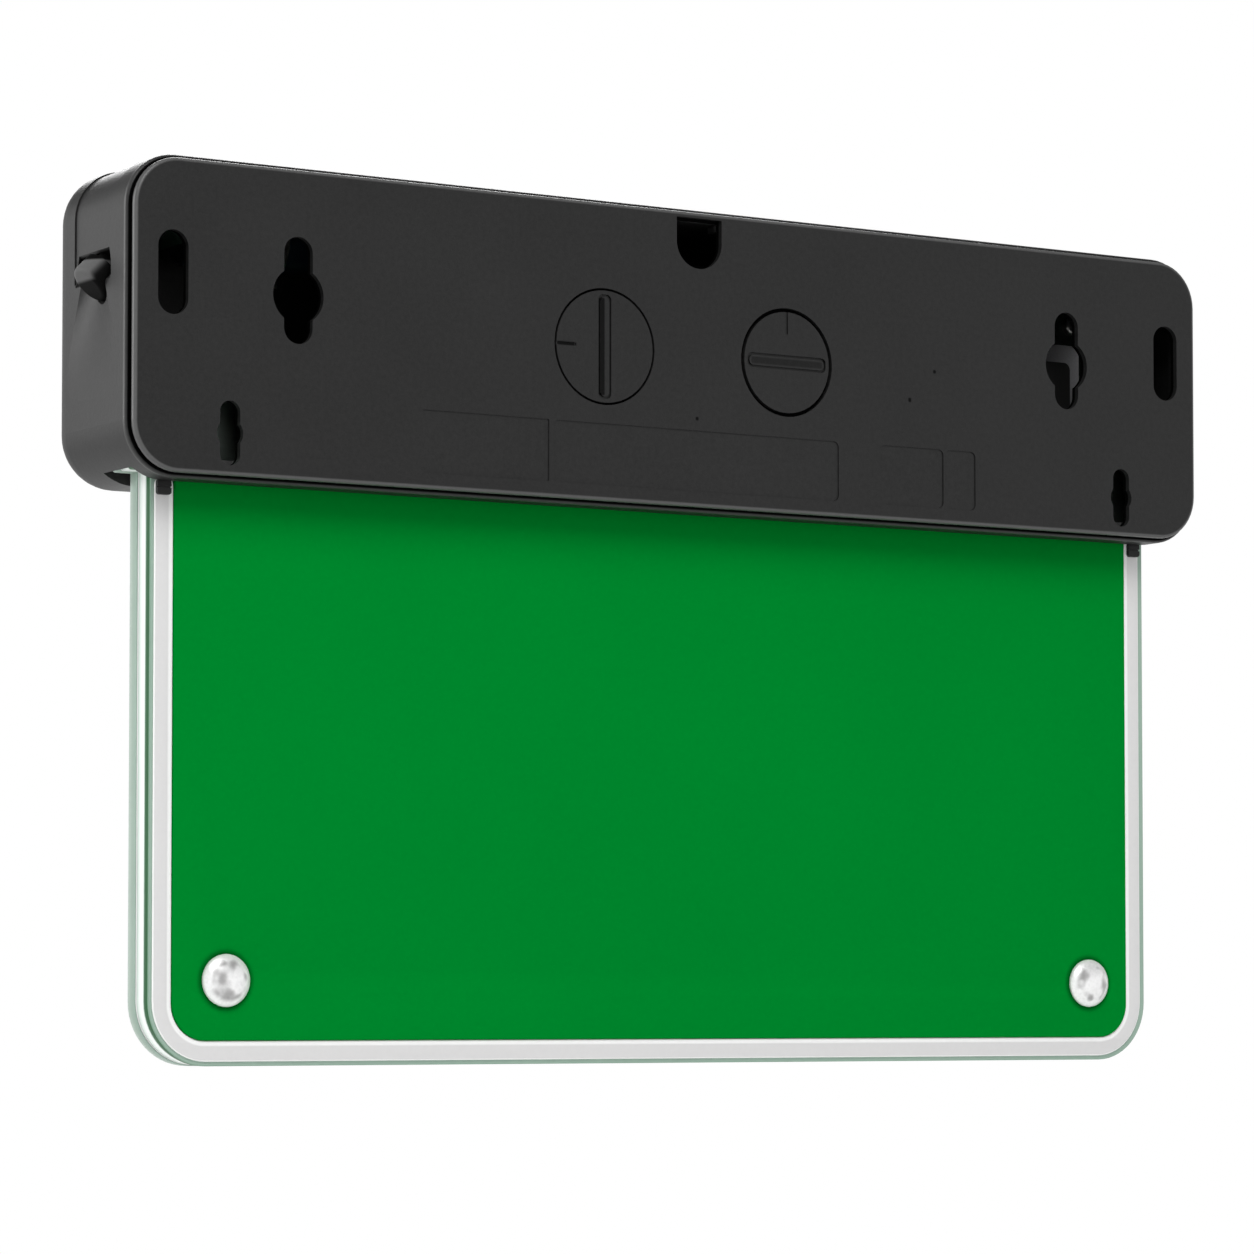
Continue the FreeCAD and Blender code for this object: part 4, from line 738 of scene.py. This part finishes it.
def place_piece(name: str, mesh: bpy.types.Mesh, finishes: list[Finish], body: str = "housing",
                replaces: tuple[str, ...] = ()) -> bpy.types.Object:
    """Makes a piece of a finished mesh and hangs it on its body.

    Args:
        name: Name of the piece.
        mesh: Its mesh, in place, in metres.
        finishes: Finish of each material index.
        body: The body that carries it.
        replaces: CAD nodes that it stands for.

    Returns:
        The piece.
    """
    indices = [0] * len(mesh.polygons)
    mesh.polygons.foreach_get("material_index", indices)
    mesh.materials.clear()
    for finish in finishes:
        mesh.materials.append(finish.material())
    mesh.polygons.foreach_set("material_index", indices)
    piece = bpy.data.objects.new(name, mesh)
    bpy.context.scene.collection.objects.link(piece)
    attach(piece, body)
    if replaces:
        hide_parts(*replaces)
    return piece


def smooth(mesh: bpy.types.Mesh, angle: float = 32.0) -> None:
    """Smooth shading, but for edges sharper than an angle in degrees."""
    mesh.polygons.foreach_set("use_smooth", [True] * len(mesh.polygons))
    mesh.set_sharp_from_angle(angle=math.radians(angle))


@dataclass
class Plate:
    """Flat plate in the XZ plane with holes and softened rims, in millimetres."""

    name: str
    outline: list[Point2]
    holes: list[list[Point2]]
    back: float
    front: float
    rim: float = 0.25

    def mesh(self) -> bpy.types.Mesh:
        """Fills the outline, gives it its thickness and marks its rim."""
        curve = bpy.data.curves.new(self.name + "_line", "CURVE")
        curve.dimensions = "2D"
        curve.fill_mode = "BOTH"
        curve.extrude = ((self.back - self.front) / 2 - self.rim) * MM
        curve.bevel_depth = self.rim * MM
        curve.bevel_resolution = 2
        curve.offset = -self.rim * MM
        for line in [self.outline, *self.holes]:
            spline = curve.splines.new("POLY")
            spline.points.add(len(line) - 1)
            for point, (x, z) in zip(spline.points, line):
                point.co = (x * MM, z * MM, 0.0, 1.0)
            spline.use_cyclic_u = True
        drawn = bpy.data.objects.new(self.name + "_drawn", curve)
        bpy.context.scene.collection.objects.link(drawn)
        bpy.context.view_layer.update()
        mesh = bpy.data.meshes.new_from_object(drawn.evaluated_get(bpy.context.evaluated_depsgraph_get()))
        bpy.data.objects.remove(drawn)
        middle = (self.back + self.front) / 2 * MM
        mesh.transform(Matrix.Translation((0.0, middle, 0.0)) @ Matrix.Rotation(math.pi / 2, 4, "X"))
        shape = bmesh.new()
        shape.from_mesh(mesh)
        bmesh.ops.remove_doubles(shape, verts=shape.verts, dist=0.002 * MM)
        bmesh.ops.recalc_face_normals(shape, faces=shape.faces)
        for face in shape.faces:
            broad = abs(face.normal.y) > 0.99
            face.material_index = (Skin.FACE if broad else Skin.RIM).value
        shape.to_mesh(mesh)
        shape.free()
        mesh.name = self.name
        smooth(mesh)
        return mesh


def lathe(name: str, profile: tuple[Point2, ...], steps: int = 40) -> bpy.types.Mesh:
    """Turns a profile round the Y axis.

    Args:
        name: Name of the mesh.
        profile: Points of (radius, y) in millimetres, from one end of the axis to the other.
        steps: Number of parts of the turn.

    Returns:
        A closed mesh, in metres.
    """
    shape = bmesh.new()
    rings = []
    for radius, y in profile:
        if radius == 0:
            rings.append([shape.verts.new((0.0, y * MM, 0.0))])
        else:
            ring = circle(0.0, 0.0, radius, steps)
            rings.append([shape.verts.new((x * MM, y * MM, z * MM)) for x, z in ring])
    for one, two in zip(rings, rings[1:]):
        for k in range(steps):
            nxt = (k + 1) % steps
            corners = [one[k % len(one)], one[nxt % len(one)], two[nxt % len(two)], two[k % len(two)]]
            shape.faces.new(list(dict.fromkeys(corners)))
    bmesh.ops.recalc_face_normals(shape, faces=shape.faces)
    mesh = bpy.data.meshes.new(name)
    shape.to_mesh(mesh)
    shape.free()
    smooth(mesh, 40.0)
    return mesh


@dataclass
class Row:
    """Copies of one piece in an even row, set by a node tree."""

    name: str
    pattern: bpy.types.Mesh
    finish: Finish
    count: int
    start: Vector
    pitch: Vector

    def tree(self) -> bpy.types.GeometryNodeTree:
        """Builds the tree: a line of points, the pattern on each, and one finish."""
        tree = bpy.data.node_groups.new(self.name + "_row", "GeometryNodeTree")
        face = tree.interface
        face.new_socket("Geometry", in_out="INPUT", socket_type="NodeSocketGeometry")
        face.new_socket("Count", in_out="INPUT", socket_type="NodeSocketInt")
        face.new_socket("Start", in_out="INPUT", socket_type="NodeSocketVector")
        face.new_socket("Pitch", in_out="INPUT", socket_type="NodeSocketVector")
        face.new_socket("Finish", in_out="INPUT", socket_type="NodeSocketMaterial")
        face.new_socket("Geometry", in_out="OUTPUT", socket_type="NodeSocketGeometry")
        given = tree.nodes.new("NodeGroupInput")
        line = tree.nodes.new("GeometryNodeMeshLine")
        line.mode = "OFFSET"
        copies = tree.nodes.new("GeometryNodeInstanceOnPoints")
        whole = tree.nodes.new("GeometryNodeRealizeInstances")
        dressed = tree.nodes.new("GeometryNodeSetMaterial")
        result = tree.nodes.new("NodeGroupOutput")
        for source, socket, sink, target in (
                (given, "Count", line, "Count"), (given, "Start", line, "Start Location"),
                (given, "Pitch", line, "Offset"), (line, "Mesh", copies, "Points"),
                (given, "Geometry", copies, "Instance"), (copies, "Instances", whole, "Geometry"),
                (whole, "Geometry", dressed, "Geometry"), (given, "Finish", dressed, "Material"),
                (dressed, "Geometry", result, "Geometry")):
            tree.links.new(source.outputs[socket], sink.inputs[target])
        return tree

    def mesh(self) -> bpy.types.Mesh:
        """Evaluates the tree and returns a plain mesh."""
        carrier = bpy.data.objects.new(self.name + "_carrier", self.pattern)
        bpy.context.scene.collection.objects.link(carrier)
        modifier = carrier.modifiers.new("row", "NODES")
        modifier.node_group = self.tree()
        given = {"Count": self.count, "Start": tuple(self.start * MM), "Pitch": tuple(self.pitch * MM),
                 "Finish": self.finish.material()}
        for item in modifier.node_group.interface.items_tree:
            if item.in_out == "INPUT" and item.name in given:
                modifier[item.identifier] = given[item.name]
        bpy.context.view_layer.update()
        mesh = bpy.data.meshes.new_from_object(carrier.evaluated_get(bpy.context.evaluated_depsgraph_get()))
        mesh.name = self.name
        carrier.modifiers.remove(modifier)
        bpy.data.objects.remove(carrier)
        return mesh


def dress(*nodes: str) -> None:
    """Gives CAD nodes the finish of the slot that their material is named after."""
    for node in nodes:
        for slot in frame["nodes"][node].material_slots:
            finish = FINISHES[slot.material.name.split(".")[0]]
            slot.link = "OBJECT"
            slot.material = finish.material()


# Sub-assemblies

@dataclass
class Housing:
    """Moulded shell and its snap-in back plate."""

    nodes: tuple[str, ...] = ("front_shell", "back_plate")

    def build(self) -> None:
        """Dresses the two mouldings."""
        dress(*self.nodes)


@dataclass
class TestButton:
    """Slanted push button and the plunger behind it."""

    nodes: tuple[str, ...] = ("test_button", "switch_plunger", "push_switch", "switch_board", "switch_screws")

    def build(self) -> None:
        """Dresses the button and its switch."""
        dress(*self.nodes)


class BoxCorner(Enum):
    """Which corner of a node's box is read."""

    LOW = 0
    HIGH = 1


def edge_of(node: str, corner: BoxCorner, axis: int) -> float:
    """One coordinate of a CAD node's box, in millimetres.

    Args:
        node: Name of the node.
        corner: Lowest or highest corner.
        axis: 0, 1 or 2 for x, y or z.

    Returns:
        The coordinate.
    """
    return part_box(node)[corner.value][axis] / MM


@dataclass
class SignPanel:
    """Pack of acrylic sheets with a green field, a white border and its corner fixings, in millimetres."""

    half_width: float = 150.1
    ear: float = edge_of("light_guide", BoxCorner.HIGH, 0) - half_width
    ear_low: float = -36.15
    ear_corner: float = 0.8
    top: float = edge_of("light_guide", BoxCorner.HIGH, 2)
    low: float = edge_of("light_guide", BoxCorner.LOW, 2)
    corner: float = 15.5
    corner_steps: int = 14
    inner_inset: float = 0.3
    rim: float = 0.25
    film_rim: float = 0.05
    front_frame: float = 6.5
    front_corner: float = 9.5
    rear: float = edge_of("rear_sheet", BoxCorner.HIGH, 1)
    reflector: float = edge_of("reflector_sheet", BoxCorner.HIGH, 1)
    film: float = edge_of("front_face", BoxCorner.HIGH, 1)
    guide: float = edge_of("light_guide", BoxCorner.HIGH, 1)
    front: float = edge_of("light_guide", BoxCorner.LOW, 1)
    border_low: float = edge_of("white_border", BoxCorner.LOW, 2)
    border_far: float = edge_of("white_border", BoxCorner.LOW, 0)
    border_near: float = edge_of("white_border", BoxCorner.HIGH, 0)
    border_top: float = edge_of("white_border", BoxCorner.HIGH, 2)
    border_face: float = edge_of("white_border", BoxCorner.HIGH, 1)
    border_width: float = 5.0
    border_margin: float = 1.1
    border_inner: float = 8.9
    border_rim: float = 0.28
    green_face: float = edge_of("green_panel", BoxCorner.HIGH, 1)
    green_gap: float = 0.1
    green_rim: float = 0.3
    cap_x: float = 130.1
    cap_z: float = -158.55
    cap_radius: float = 6.4
    hole_radius: float = 2.3
    turn_steps: int = 48
    dome: tuple[Point2, ...] = (
        (0.0, 3.2), (1.4, 3.13), (2.8, 2.88), (4.1, 2.43), (5.2, 1.8), (5.95, 1.2), (6.3, 0.78), (6.4, 0.45),
        (6.36, 0.12), (6.2, 0.0), (0.0, 0.0),
    )
    screw: tuple[Point2, ...] = (
        (0.0, 1.8), (2.0, 1.8), (2.0, -12.5), (6.2, -12.5), (6.4, -12.7), (6.35, -13.1), (5.6, -13.8),
        (4.2, -14.5), (2.2, -15.0), (0.0, -15.1),
    )
    edge_bands: tuple[tuple[float, Colour], ...] = (
        (-23.4, (0.76, 0.81, 0.78)), (-22.2, (0.44, 0.52, 0.47)), (-20.6, (0.33, 0.42, 0.36)),
        (-19.0, (0.30, 0.40, 0.34)), (-18.2, (0.32, 0.42, 0.36)), (-17.2, (0.70, 0.78, 0.73)),
        (-15.6, (0.90, 0.93, 0.91)), (-14.6, (0.84, 0.90, 0.86)), (-13.9, (0.03, 0.13, 0.06)),
        (-12.6, (0.008, 0.08, 0.02)), (-11.7, (0.02, 0.11, 0.04)), (-11.1, (0.30, 0.44, 0.35)),
    )

    def sheet_line(self, inset: float = 0.0) -> list[Point2]:
        """Outline of a sheet with round lower corners and ears at its top."""
        x, low, radius = self.half_width - inset, self.low + inset, self.corner - inset
        out, ear = x + self.ear, self.ear_corner
        return rounded([Corner(-x, low, radius), Corner(x, low, radius), Corner(x, self.ear_low),
                        Corner(out, self.ear_low, ear), Corner(out, self.top, ear),
                        Corner(-out, self.top, ear), Corner(-out, self.ear_low, ear),
                        Corner(-x, self.ear_low)], self.corner_steps)

    def screw_holes(self) -> list[list[Point2]]:
        """Holes for the corner screws."""
        return [circle(side.value * self.cap_x, self.cap_z, self.hole_radius) for side in Side]

    def build_sheets(self) -> None:
        """Builds the three sheets and the front film, with the print shown on the front sheet."""
        line, inner, holes = self.sheet_line(), self.sheet_line(self.inner_inset), self.screw_holes()
        edge = PackEdge("pack_edge", self.front, self.rear, self.edge_bands)
        field = FrontFilm("front_field_print", GREEN, 0.35, 0.2, 0.05, 0.0, 0.0, frame=WHITE,
                          half_width=self.half_width - self.front_frame,
                          low=self.border_low + self.border_width, high=self.border_top,
                          corner=self.front_corner)
        reflector, rear = FINISHES["reflector_white"], FINISHES["clear_acrylic"]
        sheets = (
            ("light_guide_sheet", line, self.guide, self.front, field, "clear_acrylic", "light_guide"),
            ("reflector_plate", inner, self.reflector, self.film, reflector, "reflector_white",
             "reflector_sheet"),
            ("rear_sheet_plate", line, self.rear, self.reflector, rear, "clear_acrylic", "rear_sheet"),
        )
        for name, outline, back, front, face, slot, node in sheets:
            mesh = Plate(name, outline, holes, back, front, self.rim).mesh()
            place_piece(name, mesh, [face, edge], replaces=(node,))
        film = Plate("front_film", inner, holes, self.film, self.guide, self.film_rim).mesh()
        place_piece("front_film", film, [field, field], replaces=("front_face",))

    def build_border(self) -> None:
        """Builds the white border and the green field inside it."""
        far, near, low, top = self.border_far, self.border_near, self.border_low, self.border_top
        width, inner = self.border_width, self.border_inner
        end, outer = width * 0.45, self.corner - self.border_margin
        line = rounded([Corner(far, low, outer), Corner(near, low, outer), Corner(near, top, end),
                        Corner(near - width, top, end), Corner(near - width, low + width, inner),
                        Corner(far + width, low + width, inner), Corner(far + width, top, end),
                        Corner(far, top, end)], self.corner_steps)
        border = Plate("border_frame", line, [], self.border_face, self.rear, self.border_rim).mesh()
        face = BorderFilm("border_face", WHITE, 0.42, 0.25, 0.05, 0.0, 0.0, line=HIGHLIGHT_WHITE,
                          middle_x=(far + near) / 2, half_width=(near - far) / 2 - width, low=low + width,
                          corner=inner)
        # Painted highlight: the border's rounded rim is whiter than its face.
        edge = Film("border_edge_highlight", (0.95, 0.95, 0.94), 0.3, 0.5)
        place_piece("border_frame", border, [face, edge], replaces=("white_border",))
        gap = width + self.green_gap
        line = rounded([Corner(far + gap, low + gap, inner), Corner(near - gap, low + gap, inner),
                        Corner(near - gap, self.ear_low), Corner(far + gap, self.ear_low)], self.corner_steps)
        holes = self.screw_holes()
        green = Plate("green_field", line, holes, self.green_face, self.rear, self.green_rim).mesh()
        print_film = SignFilm("sign_field", GREEN, 0.5, 0.0, 0.07, 0.08, cap_x=self.cap_x, cap_z=self.cap_z,
                              cap_radius=self.cap_radius)
        place_piece("green_field", green, [print_film, print_film], replaces=("green_panel",))

    def build_fixings(self) -> None:
        """Turns the cap nuts and corner screws and sets them in rows."""
        metal = CapMetal(name="polished_cap", crown=(0.42, 0.415, 0.415), rim=HIGHLIGHT_WHITE, cap_x=self.cap_x,
                         cap_z=self.cap_z)
        start = Vector((-self.cap_x, self.green_face, self.cap_z))
        pitch = Vector((2 * self.cap_x, 0.0, 0.0))
        for name, single, profile, node in (("cap_nuts", "cap_nut", self.dome, "panel_cap_nuts"),
                                            ("corner_screws", "corner_screw", self.screw, "panel_screws")):
            pair = Row(name, lathe(single, profile, self.turn_steps), metal, len(Side), start, pitch).mesh()
            place_piece(name, pair, [metal], replaces=(node,))

    def build(self) -> None:
        """Builds the pack from the back to the front."""
        self.build_sheets()
        self.build_border()
        self.build_fixings()
        dress("panel_top_screws")


@dataclass
class LightBar:
    """Channel that grips the sheets, with its LED strip."""

    nodes: tuple[str, ...] = ("panel_channel", "channel_screws", "led_board", "leds")

    def build(self) -> None:
        """Dresses the channel, its screws and the strip."""
        dress(*self.nodes)


@dataclass
class Electronics:
    """Driver board, its parts, the battery and the leads, seen only through the keyholes."""

    board: tuple[str, ...] = ("driver_board", "transformer_core", "transformer_coil", "capacitors",
                              "terminal_block", "relay", "driver_chip", "diodes", "fuse", "battery_socket",
                              "led_socket", "board_screws")
    battery: tuple[str, ...] = ("battery_pack", "battery_straps", "battery_leads", "led_leads",
                                "switch_leads")

    def build(self) -> None:
        """Dresses the board, the battery and the leads."""
        dress(*self.board, *self.battery)


@dataclass
class Studio:
    """Camera, lamps, floor and background. Metres and degrees, and millimetres in the floor's fade."""

    eye: Vector = field(default_factory=lambda: Vector((0.63464, 0.98643, -0.16453)))
    yaw: float = 31.8164
    pitch: float = 2.8228
    lens: float = 132.7
    shift: float = 0.12
    floor: float = -0.45
    reach: float = 6.0
    floor_steps: int = 96
    floor_tone: Colour = (0.82, 0.82, 0.82)
    fade_start: float = 600.0
    fade_end: float = 1500.0
    near_glow: float = 0.55
    mirror_glow: float = 0.8
    ambient: float = 0.5
    room_low: float = 0.1
    room_high: float = 0.55
    room_dark: float = 0.85
    lamps: tuple[tuple[str, Vector, Vector, float, float], ...] = (
        ("key_lamp", Vector((0.55, 1.0, 1.1)), Vector((0.0, 0.0, -0.06)), 0.9, 15.0),
        ("end_lamp", Vector((1.3, -0.75, 0.35)), Vector((0.1, 0.0, -0.04)), 0.9, 11.0),
        ("front_lamp", Vector((-0.5, -1.2, 0.9)), Vector((0.0, 0.0, -0.08)), 1.0, 15.0),
    )

    def camera(self) -> None:
        """Sets the camera at the photograph's angle."""
        data = bpy.data.cameras.new("camera")
        data.lens, data.sensor_width, data.shift_y = self.lens, 36.0, self.shift
        data.clip_end = 50.0
        made = bpy.data.objects.new("camera", data)
        bpy.context.scene.collection.objects.link(made)
        yaw, pitch = math.radians(self.yaw), math.radians(self.pitch)
        ahead = Vector((-math.sin(yaw) * math.cos(pitch), -math.cos(yaw) * math.cos(pitch), math.sin(pitch)))
        made.location = self.eye
        made.rotation_euler = ahead.to_track_quat("-Z", "Y").to_euler()
        bpy.context.scene.camera = made

    def lights(self) -> None:
        """Hangs the large soft lamps."""
        for name, place, aim, size, power in self.lamps:
            data = bpy.data.lights.new(name, "AREA")
            data.shape, data.size, data.energy = "DISK", size, power
            made = bpy.data.objects.new(name, data)
            bpy.context.scene.collection.objects.link(made)
            made.location = place
            made.rotation_euler = (aim - place).to_track_quat("-Z", "Y").to_euler()

    def rays(self, coat: Coat) -> tuple[Shade, Shade]:
        """Tells the rays that come from the camera, and those that come by gloss or glass."""
        direct = coat.node("ShaderNodeLightPath", output="Is Camera Ray")
        mirrored = coat.node("ShaderNodeLightPath", output="Is Glossy Ray").at_least(
            coat.node("ShaderNodeLightPath", output="Is Transmission Ray"))
        return direct, mirrored * (1.0 - direct)

    def background(self) -> None:
        """Lights the object evenly and shows white behind it and in its gloss."""
        world = bpy.data.worlds.new("studio")
        world.use_nodes = True
        bpy.context.scene.world = world
        coat = Coat(world.node_tree)
        direct, mirrored = self.rays(coat)
        height = coat.node("ShaderNodeSeparateXYZ", values={0: coat.place()}, output=2)
        room = 1.0 - height.step(self.room_low, self.room_high) * self.room_dark
        dim = coat.node("ShaderNodeBackground", values={"Color": LIGHT, "Strength": self.ambient})
        shown = direct + mirrored * room
        white = coat.node("ShaderNodeBackground", values={"Color": LIGHT, "Strength": shown})
        seen = direct.at_least(mirrored)
        mixed = coat.node("ShaderNodeMixShader", values={0: seen, 1: dim, 2: white})
        coat.end(mixed, "ShaderNodeOutputWorld")

    def ground(self) -> None:
        """Lays a pale floor that keeps the object's shadow and fades to the background."""
        shape = bmesh.new()
        bmesh.ops.create_circle(shape, cap_ends=True, segments=self.floor_steps, radius=self.reach,
                                matrix=Matrix.Translation((0.0, 0.0, self.floor)))
        mesh = bpy.data.meshes.new("floor")
        shape.to_mesh(mesh)
        shape.free()
        made = bpy.data.objects.new("floor", mesh)
        bpy.context.scene.collection.objects.link(made)
        material = bpy.data.materials.new("pale_floor")
        material.use_nodes = True
        coat = Coat(material.node_tree)
        x, y, _ = coat.axes()
        away = ((x * x + y * y) ** 0.5).step(self.fade_start, self.fade_end)
        grain = coat.noise(3.0, 3.0)
        paint = coat.node("ShaderNodeBsdfDiffuse", values={
            "Color": coat.tinted(self.floor_tone, 1.0 + (grain - 0.5) * 0.02)})
        direct, mirrored = self.rays(coat)
        glow = coat.node("ShaderNodeEmission", values={"Color": LIGHT, "Strength": 1.0})
        share = direct * (self.near_glow + away * (1.0 - self.near_glow)) + mirrored * away * self.mirror_glow
        coat.end(coat.node("ShaderNodeMixShader", values={0: share, 1: paint, 2: glow}))
        mesh.materials.append(material)

    def build(self) -> None:
        """Sets up the camera, the lamps, the background and the floor."""
        self.camera()
        self.lights()
        self.background()
        self.ground()
        bpy.context.scene.view_settings.view_transform = "Standard"


def main() -> None:
    """Builds the studio and each sub-assembly in order, and reports each one."""
    logging.basicConfig(level=logging.INFO, format="%(message)s")
    for part in (Studio(), Housing(), TestButton(), SignPanel(), LightBar(), Electronics()):
        part.build()
        LOG.info("built %s", type(part).__name__)


if __name__ == "__main__":
    main()
